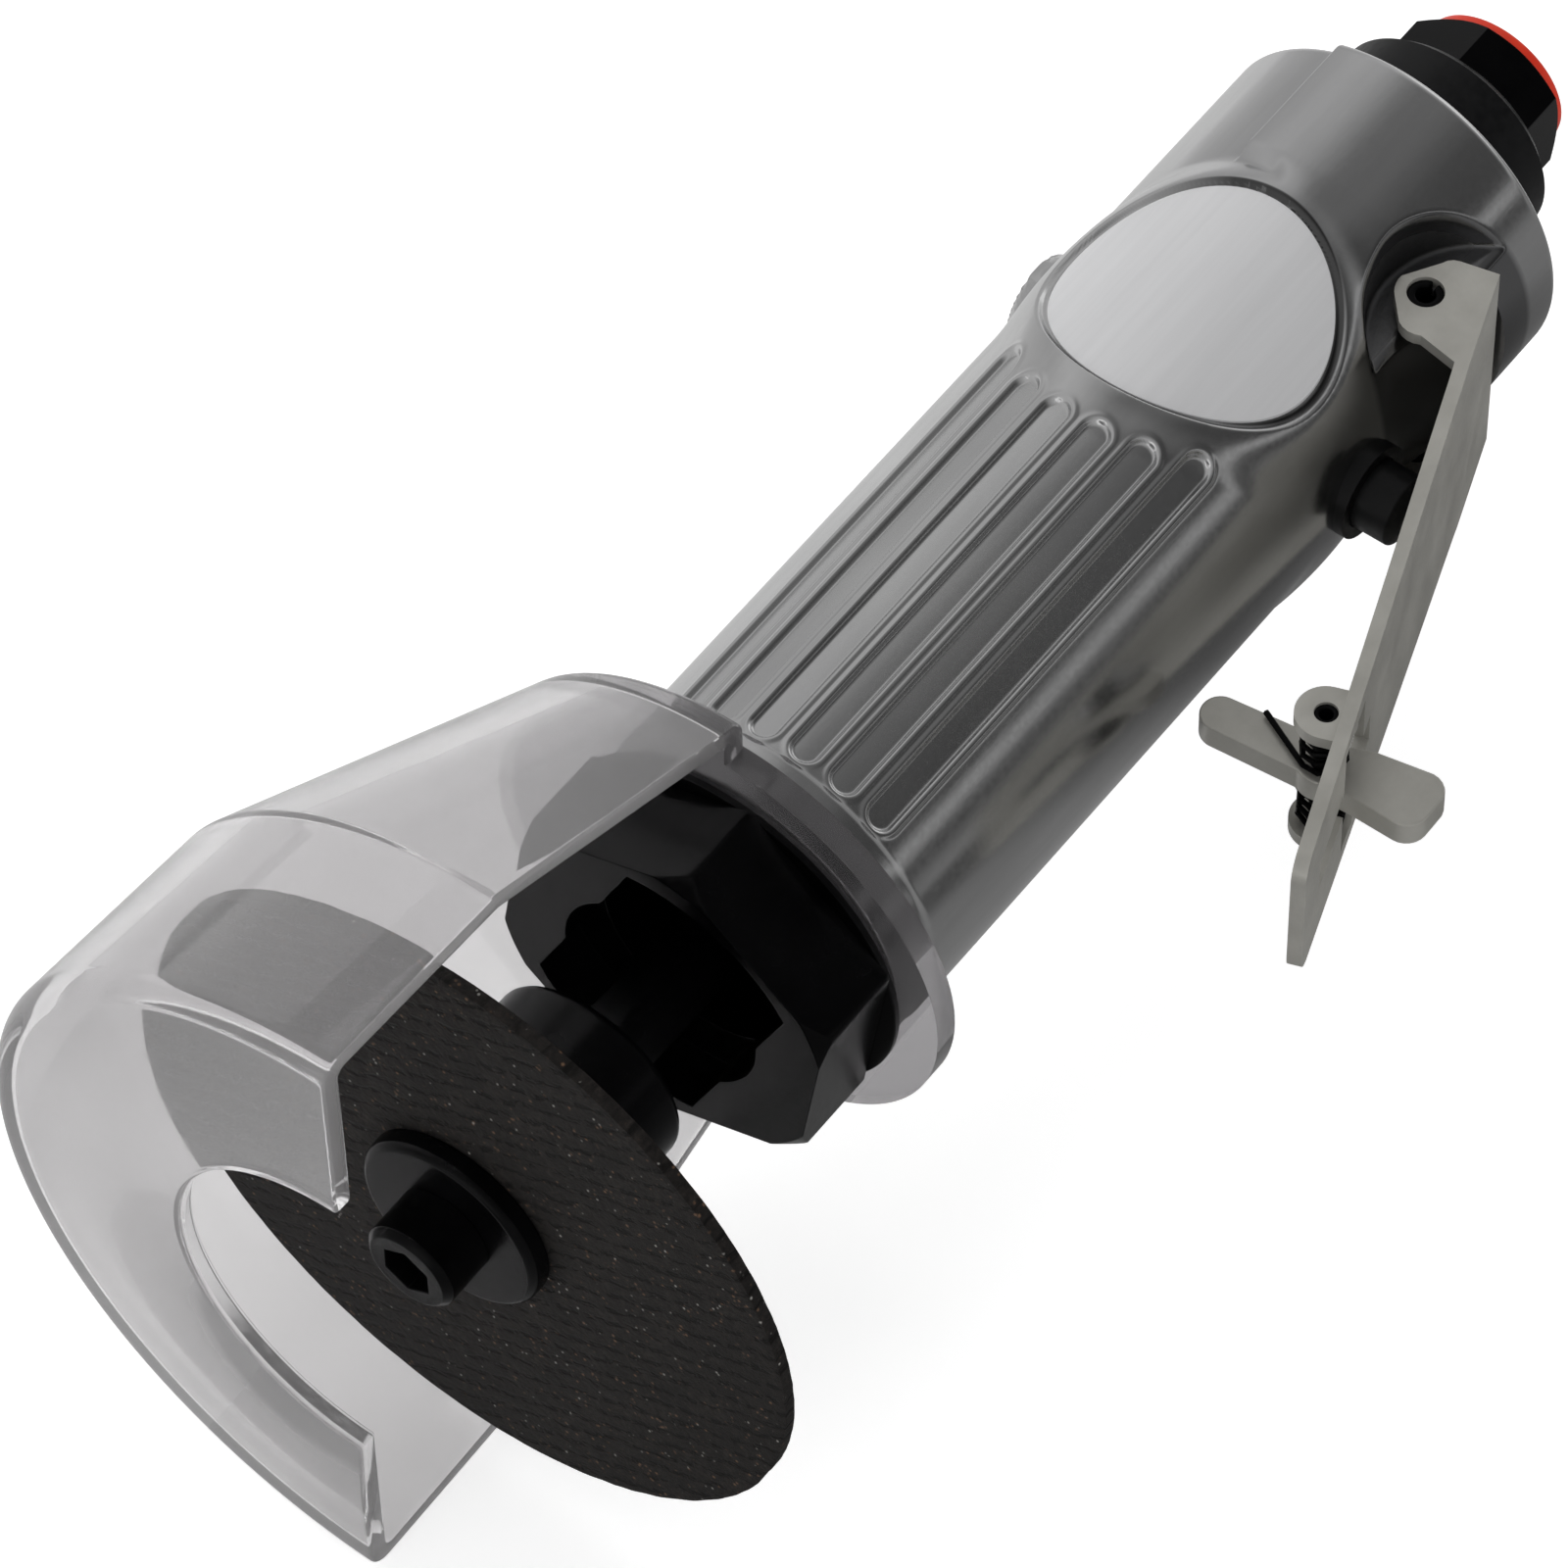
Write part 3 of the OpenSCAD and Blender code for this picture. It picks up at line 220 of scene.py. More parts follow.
# Where the cast skin's look and its painted shade change, in mm: each pair is where a look begins to fade,
# and where it ends
SKIN = {
    "pocket": (11.3, 12.1),    # painted shade in the pockets, from their own axis
    "as_cast": (18.1, 18.45),  # rough metal in the pockets, from the spindle
    "dull": (18.6, 18.9),      # less polish in the flutes, from the spindle
    "deep": (15.5, 18.3),      # painted shade: floors darker the deeper they lie, from the spindle
    "ring": (0.3, 0.5),        # painted shadow: a dark line beside the label's seat
    "seat_shadow_side": (9, 10),      # from the middle plane, where that painted shadow begins
    "seat_shadow_rear": (-4, 9),      # towards the rear and the lever, where that painted shadow is full
}


def cast_aluminium():
    """Polished outside and rough in the pockets, with painted shade darkening the pockets and the deep
    hollows, and a painted shadow line beside the label's rear.
    """
    look = Shader("cast_aluminium", Metallic=1.0)
    cloud = look.noise(28, 4)
    draw = look.noise(420, 3, 0.6, (0.12, 1, 1))
    grain = look.noise(1900, 2)
    pits = look.noise(900, 4, 0.7)
    x, y, z = look.axes(look.place)
    radius = look.length(y, z)
    pocket = at(POCKET["x"], POCKET["y"])
    from_pocket = look.length(look.math("SUBTRACT", x, pocket.x), look.math("SUBTRACT", y, pocket.y))
    # painted shade: the pockets' floors and walls are darkened as if shadowed, round each pocket's own axis
    pocket_painted_shade = look.within(from_pocket, SKIN["pocket"], 0.9)
    cast = look.within(radius, SKIN["as_cast"])
    dull = look.within(radius, SKIN["dull"], 0.05)
    # painted shade: darker the deeper below the skin, in the bores and the pockets' floors
    deep = look.within(radius, SKIN["deep"], 0.85)
    along = look.math("SUBTRACT", x, at(LABEL["x"]).x)
    from_seat = look.math("SUBTRACT", look.length(along, y), LABEL["recess"] * MM)
    # painted shadow: a dark crescent line in the label's seat, only on the side towards the rear and the
    # lever
    ring = look.within(look.math("ABSOLUTE", from_seat), SKIN["ring"], 0.9)
    ring = look.math("MULTIPLY", ring, look.beyond(look.math("ABSOLUTE", z), SKIN["seat_shadow_side"]))
    ring = look.math("MULTIPLY", ring, look.beyond(look.math("SUBTRACT", along, y), SKIN["seat_shadow_rear"]))
    tone = look.mix(look.spread(cloud, 0, 1), (0.6, 0.6, 0.605), (0.72, 0.72, 0.72))
    tone = look.mix(look.spread(draw, 0, 0.35), tone, (0.52, 0.52, 0.52))
    matt = look.mix(look.spread(pits, 0, 1), (0.36, 0.36, 0.365), (0.55, 0.55, 0.55))
    tone = look.mix(cast, tone, matt)
    # painted shade: the deep hollows turn dark grey
    tone = look.mix(deep, tone, (0.16, 0.16, 0.17))
    # painted shade: the pockets turn dark grey
    tone = look.mix(pocket_painted_shade, tone, (0.2, 0.2, 0.205))
    # painted shadow: the line beside the label's seat is near black
    look.colour(look.mix(ring, tone, (0.05, 0.05, 0.05)))
    satin = look.math("ADD", look.spread(cloud, 0.14, 0.2), look.spread(grain, 0, 0.05))
    satin = look.math("ADD", satin, dull)
    look.roughness(look.math("ADD", satin, look.math("MULTIPLY", cast, 0.2)))
    rough = look.bump(grain, 0.02, 0.15)
    rough = look.bump(look.math("MULTIPLY", pits, cast), 0.12, 0.6, rough)
    look.normal(look.bump(draw, 0.03, 0.4, rough))
    return look.material


def label_foil():
    look = Shader("label_foil", Metallic=0.2)
    brush = look.noise(900, 2, 0.6, (0.05, 1, 1))
    look.colour(look.mix(look.spread(brush, 0, 1), (0.7, 0.7, 0.71), (0.74, 0.74, 0.75)))
    look.roughness(look.spread(brush, 0.36, 0.44))
    look.normal(look.bump(brush, 0.01, 0.12))
    return look.material


def plated_steel(name, pale, dark, low, high):
    """Steel with a clouded coat, whose roughness lies between low and high."""
    look = Shader(name, Metallic=0.45)
    cloud = look.noise(150, 5, 0.6)
    grain = look.noise(1500, 3)
    look.colour(look.mix(look.spread(cloud, 0, 1), dark, pale))
    look.roughness(look.math("ADD", look.spread(cloud, low, high), look.spread(grain, 0, 0.08)))
    look.normal(look.bump(grain, 0.015, 0.5))
    return look.material


def black_steel():
    look = Shader("black_steel", Specular_IOR_Level=0.09)
    cloud = look.noise(120, 4)
    grain = look.noise(1400, 3)
    look.colour(look.mix(look.spread(cloud, 0, 1), (0.001, 0.001, 0.0012), (0.003, 0.003, 0.0033)))
    look.roughness(look.spread(grain, 0.2, 0.27))
    look.normal(look.bump(grain, 0.01, 0.4))
    return look.material


def black_plastic():
    look = Shader("black_plastic", Specular_IOR_Level=0.3)
    grain = look.noise(1000, 2)
    look.colour(look.mix(look.spread(grain, 0, 1), (0.003, 0.003, 0.0035), (0.006, 0.006, 0.0065)))
    look.roughness(look.spread(grain, 0.34, 0.46))
    look.normal(look.bump(grain, 0.02, 0.4))
    return look.material


def clear_guard():
    """Hazy clear plastic, darker in its thick ring at the housing."""
    look = Shader("clear_guard", Transmission_Weight=0.84, IOR=1.45)
    flow = look.noise(35, 2)
    haze = look.mix(look.spread(flow, 0, 1), (0.68, 0.67, 0.675), (0.745, 0.735, 0.74))
    x = look.axes(look.place)[0]
    thick = look.spread(x, 0, 0.85, at(GUARD["ring"] - GUARD["ring_fade"]).x, at(GUARD["ring"]).x)
    look.colour(look.mix(thick, haze, (0.34, 0.33, 0.34)))
    scratch = look.noise(500, 2, 0.5, (0.15, 1, 1))
    look.roughness(look.spread(scratch, 0.02, 0.09, 0.5, 0.8))
    look.normal(look.bump(flow, 0.3, 0.15))
    return look.material


# The glass net pressed into the disc: its rows' turn, their pitch in mm and how far they wander
NET = {"turn": 27, "pitch": 2.1, "wander": 1.6, "stretch": 0.6}


def abrasive():
    """Pressed grit over a glass net: broken rows of short dark dents, with brown and pale grains."""
    look = Shader("abrasive", Roughness=0.75, Specular_IOR_Level=0.3)
    turned = look.node("Mapping")
    turned.inputs["Rotation"].default_value = (math.radians(NET["turn"]), 0, 0)
    look.link(look.place, turned.inputs["Vector"])
    y, z = look.axes(turned.outputs["Vector"])[1:]
    across = look.math("ADD", z, look.math("MULTIPLY", look.noise(330, 3), NET["wander"] * MM))
    row = look.math("SINE", look.math("MULTIPLY", across, 2 * math.pi / (NET["pitch"] * MM)))
    along = look.vector(Y=look.math("MULTIPLY", y, NET["stretch"]), Z=across)
    gap = look.spread(look.noise(1150, 3, vector=along), 0, 1, 0.44, 0.56)
    dash = look.math("MULTIPLY", look.spread(row, 0, 1, 0.2, 0.9), gap)
    grit = look.noise(1500, 5, 0.75)
    lumps = look.noise(420, 3, 0.6)
    cloud = look.noise(70, 3)
    base = look.mix(look.spread(grit, 0, 1, 0.36, 0.64), (0.003, 0.0026, 0.0024), (0.028, 0.023, 0.02))
    base = look.mix(look.spread(lumps, 0, 0.7, 0.35, 0.6), base, (0.006, 0.0052, 0.0048))
    base = look.mix(look.spread(cloud, 0, 0.5), base, (0.011, 0.0095, 0.0088))
    brown = look.math("MULTIPLY", look.spread(look.cells(1250), 1, 0, 0.1, 0.3),
                      look.spread(look.noise(520, 1), 0, 1, 0.52, 0.6))
    base = look.mix(brown, base, (0.13, 0.075, 0.045))
    pale = look.math("MULTIPLY", look.spread(look.cells(980, (1, 1.1, 0.9)), 1, 0, 0.06, 0.2),
                     look.spread(look.noise(640, 1, 0.5, (1, 0.9, 1.2)), 0, 1, 0.56, 0.62))
    base = look.mix(pale, base, (0.3, 0.29, 0.27))
    look.colour(look.mix(dash, base, (0.003, 0.0025, 0.002)))
    height = look.math("ADD", look.math("MULTIPLY", grit, 0.6), look.math("MULTIPLY", lumps, 1.2))
    height = look.math("SUBTRACT", height, look.math("MULTIPLY", dash, 0.8))
    look.normal(look.bump(height, 0.22, 1.0))
    return look.material


def plain(name, low, high, rough, metal=0.0, scale=400):
    """A quiet material with a little tone and grain, for what is small or inside."""
    look = Shader(name, Metallic=metal, Roughness=rough)
    grain = look.noise(scale, 3)
    look.colour(look.mix(look.spread(grain, 0, 1), low, high))
    look.normal(look.bump(grain, 0.02, 0.4))
    return look.material


def make_materials():
    return {
        "satin_aluminium": cast_aluminium(),
        "label_foil": label_foil(),
        "clear_guard": clear_guard(),
        "blackened_steel": black_steel(),
        "abrasive": abrasive(),
        "zinc_steel": plated_steel("zinc_steel", (0.54, 0.53, 0.49), (0.43, 0.42, 0.385), 0.28, 0.42),
        "bright_steel": plated_steel("bright_steel", (0.66, 0.67, 0.69), (0.55, 0.56, 0.58), 0.2, 0.32),
        "bearing_steel": plain("bearing_steel", (0.7, 0.71, 0.73), (0.78, 0.79, 0.8), 0.12, 1.0),
        "cast_iron": plain("cast_iron", (0.2, 0.2, 0.21), (0.3, 0.3, 0.31), 0.55, 1.0),
        "vane_resin": plain("vane_resin", (0.22, 0.11, 0.05), (0.34, 0.18, 0.08), 0.6),
        "black_plastic": black_plastic(),
        "black_rubber": plain("black_rubber", (0.01, 0.01, 0.01), (0.018, 0.018, 0.018), 0.7),
        "red_plastic": plain("red_plastic", (0.7, 0.03, 0.01), (0.78, 0.045, 0.014), 0.34),
        "felt": plain("felt", (0.36, 0.31, 0.24), (0.5, 0.44, 0.35), 0.95, 0.0, 900),
        "gasket_paper": plain("gasket_paper", (0.16, 0.23, 0.21), (0.22, 0.3, 0.28), 0.8),
    }


def slot_of(node):
    return next(entry["material_slot"] for entry in frame["record"]["subparts"] if entry["node"] == node)


# Pieces
def link_object(name, data):
    made = bpy.data.objects.new(name, data)
    bpy.context.scene.collection.objects.link(made)
    return made


def raw_mesh(name, vertices, faces):
    mesh = bpy.data.meshes.new(name)
    mesh.from_pydata([tuple(v) for v in vertices], [], faces)
    return mesh


def add_object(name, mesh, smooth_angle):
    mesh.validate()
    piece = link_object(name, mesh)
    set_smooth(mesh, smooth_angle)
    return piece


def set_smooth(mesh, angle):
    """Smooth faces, with edges sharper than the angle kept crisp."""
    work = bmesh.new()
    work.from_mesh(mesh)
    for face in work.faces:
        face.smooth = True
    for edge in work.edges:
        edge.smooth = len(edge.link_faces) == 2 and edge.calc_face_angle(0) < math.radians(angle)
    work.to_mesh(mesh)
    work.free()


def body_of(node):
    return next(name for name, nodes in frame["record"]["behaviour"]["bodies"].items() if node in nodes)


def stand_for(piece, node):
    """The piece takes the node's place, body, slot and material."""
    piece.data.materials.clear()
    piece.data.materials.append(MATERIALS[slot_of(node)])
    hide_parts(node)
    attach(piece, body_of(node))


def round_edges(work, edges, width_mm):
    bmesh.ops.bevel(work, geom=edges, offset=width_mm * MM, offset_type="OFFSET", segments=3, profile=0.5,
                    affect="EDGES", clamp_overlap=True)


def split_wide_faces(work):
    bmesh.ops.triangulate(work, faces=[f for f in work.faces if len(f.verts) > 4])


SHARP = math.radians(30)   # an edge is rounded where its faces turn by more
FLAT = math.radians(0.5)   # and taken out where they turn by less
WELD = 0.002 * MM          # points closer than this are joined first
SLIVER = 0.001 * MM        # and edges shorter than this are taken out afterwards


def softened(node, width_mm):
    """A copy of a node whose sharp edges are rounded, which then stands for it."""
    work = bmesh.new()
    work.from_mesh(frame["nodes"][node].data)
    bmesh.ops.remove_doubles(work, verts=work.verts, dist=WELD)
    bmesh.ops.dissolve_limit(work, angle_limit=FLAT, verts=work.verts, edges=work.edges)
    sharp = [e for e in work.edges if len(e.link_faces) == 2 and e.calc_face_angle(0) > SHARP]
    round_edges(work, sharp, width_mm)
    bmesh.ops.dissolve_degenerate(work, dist=SLIVER, edges=work.edges)
    split_wide_faces(work)
    mesh = bpy.data.meshes.new(node + "_soft")
    work.to_mesh(mesh)
    work.free()
    piece = add_object(node + "_soft", mesh, 40)
    piece.modifiers.new("flat_faces", "WEIGHTED_NORMAL").keep_sharp = True
    stand_for(piece, node)


# Housing: one cast skin over the barrel, with its bores cut through. Sizes are in mm, angles in degrees.
BARREL_R = 19.1
HOUSING = {"front": 44.0, "rear": 150.5, "front_round": 0.3, "rear_round": 1.2}
SEAT = {"end": 47.9, "depth": 0.25}  # the barrel's slimmer front, under the guard
ROLLED = 0.45                        # width of the soft step at a groove, a recess and the seat
HEAD = {"start": 134.5, "radius": 20.4, "ramp": 2.6, "lap": 0.3,  # the raised band at the rear
        "edge": 20.0, "edge_ramp": 0.8,                           # where it ends, past the label side
        "blend": 6.0, "blend_from": 8, "blend_over": 14}          # its longer slope beside the label
LABEL = {"x": 115.6, "foot": 19.4, "top": 20.3, "recess": 14.5, "floor": 19.55}
FLUTE = {"count": 6, "pitch": 14.34, "width": 3.2, "lap": 0.1, "depth": 0.55, "start": 48.7, "gap": 17.9,
         "rise": 0.12, "rise_at": 0.35, "rise_width": 0.3}        # a low rim round each flute
VALVE_X = 118.5
BOSS = {"radius": 5.7, "top": 20.7, "bore": 4.3, "foot": 0.5, "slope": 1.3}
PIVOT = (133.3, -15.6)
POCKET = {"x": 133.7, "y": -21.9, "radius": 11.4, "floor": 10.5, "round": 0.9}
LEVER_ANGLE = math.radians(19.8)
FAR = 99.0       # beyond the skin, where nothing is cut
FAR_SOFT = 60    # the same where a soft step follows


def ease(value):
    """0 below 0, 1 above 1 and a soft step between."""
    t = np.clip(value, 0, 1)
    return t * t * (3 - 2 * t)


def soft_max(a, b, k):
    h = np.clip(0.5 + (a - b) / (2 * k), 0, 1)
    return b + (a - b) * h + k * h * (1 - h)


def soft_min(a, b, k):
    return -soft_max(-a, -b, k)


def flute_distance(x, arc_mm, index):
    """Distance in mm from a flute's middle line, on the unrolled barrel. The flutes end round the label."""
    off = (index - (FLUTE["count"] - 1) / 2) * math.radians(FLUTE["pitch"]) * BARREL_R
    half = FLUTE["width"] / 2
    start = FLUTE["start"] + half
    end = LABEL["x"] - math.sqrt(FLUTE["gap"] ** 2 - off ** 2) - half
    along = np.maximum(np.maximum(start - x, x - end), 0)
    return np.hypot(along, arc_mm - off)


def with_flutes(radius, x, arc_mm):
    """The radius less the front seat and the flutes, with a low rim round each flute."""
    radius = radius - SEAT["depth"] * (1 - ease((x - SEAT["end"]) / ROLLED))
    reach = np.full_like(x, FAR)
    for index in range(FLUTE["count"]):
        reach = np.minimum(reach, flute_distance(x, arc_mm, index))
    half = FLUTE["width"] / 2
    groove = ease((half + FLUTE["lap"] - reach) / ROLLED)
    rim = np.exp(-((reach - half - FLUTE["rise_at"]) / FLUTE["rise_width"]) ** 2)
    return radius + FLUTE["rise"] * rim - FLUTE["depth"] * groove


def barrel_radius(x, phi):
    """The cast skin's radius at a station and an angle from the label side towards the guard side."""
    side = (phi + math.pi / 2) % math.pi - math.pi / 2
    radius = with_flutes(np.full_like(x, BARREL_R), x, side * BARREL_R)
    from_label = np.hypot(x - LABEL["x"], np.sin(side) * BARREL_R)
    swell = ease((LABEL["foot"] - from_label) / (LABEL["foot"] - LABEL["recess"]))
    lip = ease((LABEL["recess"] - from_label) / ROLLED)
    radius += (LABEL["top"] - BARREL_R) * swell - (LABEL["top"] - LABEL["floor"]) * lip
    turned = np.degrees(phi)
    inside = np.minimum(HEAD["edge"] - turned, turned + 180 + HEAD["edge"]) * math.radians(1) * BARREL_R
    ramp = HEAD["ramp"] + HEAD["blend"] * ease((HEAD["blend_from"] - turned) / HEAD["blend_over"])
    raised = np.minimum(ease((x - HEAD["start"] - HEAD["lap"] + ramp) / ramp),
                        ease((inside + HEAD["lap"]) / HEAD["edge_ramp"]))
    radius += np.maximum(HEAD["radius"] - radius, 0) * raised * (1 - lip)
    boss_face = BOSS["top"] / np.maximum(np.sin(phi), 0.2)  # a flat face; the sine is kept off 0
    from_boss = np.hypot(x - VALVE_X, np.cos(phi) * boss_face)
    on_boss = ease((BOSS["radius"] + BOSS["foot"] - from_boss) / BOSS["slope"]) * (np.sin(phi) > 0.5)
    radius += np.maximum(boss_face - radius, 0) * on_boss
    return radius


def with_pockets(radius, x, phi):
    """A pocket on each side of the lug, with a rolled edge and a filleted floor."""
    # As radii, a wall and a floor divide by the sine and the cosine, which are kept off 0
    chord = POCKET["radius"] ** 2 - (x - POCKET["x"]) ** 2
    wall_y = POCKET["y"] + np.sqrt(np.maximum(chord, 0))
    down = np.maximum(-np.sin(phi), 1e-3)
    aside = np.maximum(np.abs(np.cos(phi)), 1e-3)
    wall = np.where((chord > 0) & (np.sin(phi) < -0.1), -wall_y / down, FAR)
    floor = POCKET["floor"] / aside
    cut_to = soft_max(np.minimum(wall, FAR_SOFT), np.minimum(floor, FAR_SOFT), POCKET["round"])
    return soft_min(radius, cut_to, POCKET["round"])


def spaced(stops):
    """Numbers from stop to stop, each stretch at its own spacing: (start, spacing), ..., (end,)."""
    values = []
    for (start, step), following in zip(stops[:-1], stops[1:]):
        count = max(1, round((following[0] - start) / step))
        values.extend(start + (following[0] - start) * i / count for i in range(count))
    return values + [stops[-1][0]]


def skin_grid():
    """Stations in mm and angles in radians: close together where the skin has edges."""
    fine = 1
    rows = spaced([(HOUSING["front"], 0.2 * fine), (53.0, 1.2), (95.0, 0.17 * fine), (104.5, 0.25 * fine),
                   (147.5, 0.5), (149.2, 0.15), (HOUSING["rear"],)])
    half = spaced([(-90.0, 1.5), (-62.0, 0.6 * fine), (-46.0, 0.4 * fine), (46.0, 0.6 * fine), (62.0, 1.5),
                   (90.0,)])[:-1]
    angles = half + [angle + 180 for angle in half]
    return np.array(rows), np.radians(np.array(angles))


def edge_round(into, width):
    """How far a rounded end draws the skin in, where it lies this far into the rounding."""
    share = np.clip(into / width, 0, 1)
    return width * (1 - np.sqrt(1 - share ** 2))


def housing_mesh():
    rows, angles = skin_grid()
    x, phi = np.meshgrid(rows, angles, indexing="ij")
    phi = (phi + math.pi * 1.5) % (2 * math.pi) - math.pi * 1.5
    radius = with_pockets(barrel_radius(x, phi), x, phi)
    radius -= edge_round(x - (HOUSING["rear"] - HOUSING["rear_round"]), HOUSING["rear_round"])
    radius -= edge_round((HOUSING["front"] + HOUSING["front_round"]) - x, HOUSING["front_round"])
    points = stations(np.stack([x, radius * np.sin(phi), radius * np.cos(phi)], -1).reshape(-1, 3))
    count, wide = len(rows), len(angles)
    faces = []
    for i in range(count - 1):
        for j in range(wide):
            k = (j + 1) % wide
            faces.append((i * wide + j, (i + 1) * wide + j, (i + 1) * wide + k, i * wide + k))
    last = (count - 1) * wide
    for j in range(wide):
        k = (j + 1) % wide
        faces.append((len(points), j, k))
        faces.append((len(points) + 1, last + k, last + j))
    return raw_mesh("housing_cast", [*points, at(HOUSING["front"]), at(HOUSING["rear"])], faces)


def rod(name, start, end, radius, sides=96):
    """A plain cutter between two mm points."""
    first, last = at(*start), at(*end)
    work = bmesh.new()
    bmesh.ops.create_cone(work, cap_ends=True, segments=sides, radius1=radius * MM, radius2=radius * MM,
                          depth=(last - first).length)
    turn = (last - first).to_track_quat("Z", "X").to_matrix().to_4x4()
    work.transform(Matrix.Translation((first + last) / 2) @ turn)
    return cutter_from(name, work)


def block(name, centre, size, turn_z):
    """A box cutter round a mm point, turned about Z."""
    work = bmesh.new()
    bmesh.ops.create_cube(work, size=1.0)
    work.transform(Matrix.Translation(at(*centre)) @ Matrix.Rotation(turn_z, 4, "Z")
                   @ Matrix.Diagonal((size[0] * MM, size[1] * MM, size[2] * MM, 1)))
    return cutter_from(name, work)


def cutter_from(name, work):
    bmesh.ops.recalc_face_normals(work, faces=work.faces)
    mesh = bpy.data.meshes.new(name)
    work.to_mesh(mesh)
    work.free()
    return bpy.data.objects.new(name, mesh)


def cut(piece, cutters, kind="DIFFERENCE"):
    """The piece less, or joined with, each cutter."""
    shelf = bpy.context.scene.collection.objects
    for tool in cutters:
        shelf.link(tool)
        change = piece.modifiers.new("cut", "BOOLEAN")
        change.operation = kind
        change.solver = "MANIFOLD"
        change.object = tool
    bpy.context.view_layer.update()
    shape = bpy.data.meshes.new_from_object(piece.evaluated_get(bpy.context.evaluated_depsgraph_get()))
    piece.modifiers.clear()
    piece.data = shape
    for tool in cutters:
        bpy.data.objects.remove(tool)


def beside_lever(along, drop):
    """A mm point seen from the pivot: along the lever's strip, and towards it."""
    c, s = math.cos(LEVER_ANGLE), math.sin(LEVER_ANGLE)
    return (PIVOT[0] + along * c + drop * s, PIVOT[1] + along * s - drop * c, 0)


# Where the cutters end, clear of the housing on each side
AHEAD, BEHIND, ASIDE = 40, 160, 30
EXHAUST = {"start": 98, "y": 4.8, "z": 8.3, "radius": 1.8}
WEB_SEAT = {"along": (-7.9, 5.7), "drop": 4.6, "deep": 19.1, "wide": 44}  # room for the lever's web


def make_housing():
    piece = link_object("housing_cast", housing_mesh())
    first, last = WEB_SEAT["along"]
    seat_mid = beside_lever((first + last) / 2, WEB_SEAT["drop"] + WEB_SEAT["deep"] / 2)
    exhausts = []
    for z in (EXHAUST["z"], -EXHAUST["z"]):
        first_end, last_end = (EXHAUST["start"], EXHAUST["y"], z), (BEHIND, EXHAUST["y"], z)
        exhausts.append(rod("exhaust_bore", first_end, last_end, EXHAUST["radius"], 32))
    cutters = [
        rod("motor_bore", (AHEAD, 0, 0), (99.5, 0, 0), 15.0),
        rod("nut_bore", (AHEAD, 0, 0), (50.24, 0, 0), 15.92),
        rod("neck_bore", (138.5, 0, 0), (BEHIND, 0, 0), 7.2),
        rod("air_bore", (VALVE_X, 0, 0), (145, 0, 0), 4.2),
        *exhausts,
        rod("regulator_bore", (VALVE_X, -5.5, 0), (VALVE_X, ASIDE, 0), BOSS["bore"]),
        rod("valve_bore", (VALVE_X, -6.9, 0), (VALVE_X, -ASIDE, 0), 5.2),
        block("web_seat", seat_mid, (last - first, WEB_SEAT["deep"], WEB_SEAT["wide"]), LEVER_ANGLE),
        rod("pivot_bore", (*PIVOT, -ASIDE), (*PIVOT, ASIDE), 1.85, 48),
    ]
    cut(piece, cutters)
    set_smooth(piece.data, 60)
    stand_for(piece, "housing")


# Guard: a clear half drum, cone and rear plate in one moulding. Stations and radii are in mm.
GUARD = {"front": -17.0, "window": 20.2, "r": 43.3, "mid_x": 8.0, "mid_r": 42.1,
         "rear": 43.95, "rear_r": 28.4, "rear_inner": 17.9,
         "wall": 2.3, "thinner": 0.9, "edge": 0.35,                     # thinner at the rear corner
         "ring": 41.2, "ring_r": 24.3, "ring_fade": 0.3, "bore": 16.2}  # the whole ring on the housing


def corner(points, index, radius, steps=8):
    """The corner's arc, for a closed profile whose corners are rounded."""
    p = Vector(points[index])
    if radius <= 0:
        return [tuple(p)]
    before = Vector(points[index - 1]) - p
    after = Vector(points[(index + 1) % len(points)]) - p
    a, b = before.normalized(), after.normalized()
    half = a.angle(b) / 2
    reach = min(radius / math.tan(half), 0.48 * before.length, 0.48 * after.length)
    radius = reach * math.tan(half)
    middle = p + (a + b).normalized() * (radius / math.sin(half))
    start, end = p + a * reach - middle, p + b * reach - middle
    swing = start.angle(end)
    out = []
    for i in range(steps + 1):
        t = i / steps
        spoke = start * math.sin((1 - t) * swing) + end * math.sin(t * swing)
        out.append(tuple(middle + spoke / math.sin(swing)))
    return out


def guard_profile():
    """Station and radius round the wall's section, with each corner rounded."""
    g = GUARD
    w = g["wall"]
    corners = [
        (g["front"], g["window"], 0.6), (g["front"], g["r"], 2.4), (g["mid_x"], g["mid_r"], 2.0),
        (g["rear"], g["rear_r"], 2.2), (g["rear"], g["rear_inner"], 0), (g["ring"], g["rear_inner"], 0),
        (g["ring"], g["rear_r"] - w + g["thinner"], 0.7), (g["mid_x"], g["mid_r"] - w, 1.2),
        (g["front"] + w, g["r"] - w, 0.9), (g["front"] + w, g["window"], 0.6),
    ]
    points = [(x, r) for x, r, _ in corners]
    section = []
    for index, (_, _, radius) in enumerate(corners):
        section.extend(corner(points, index, radius))
    return section


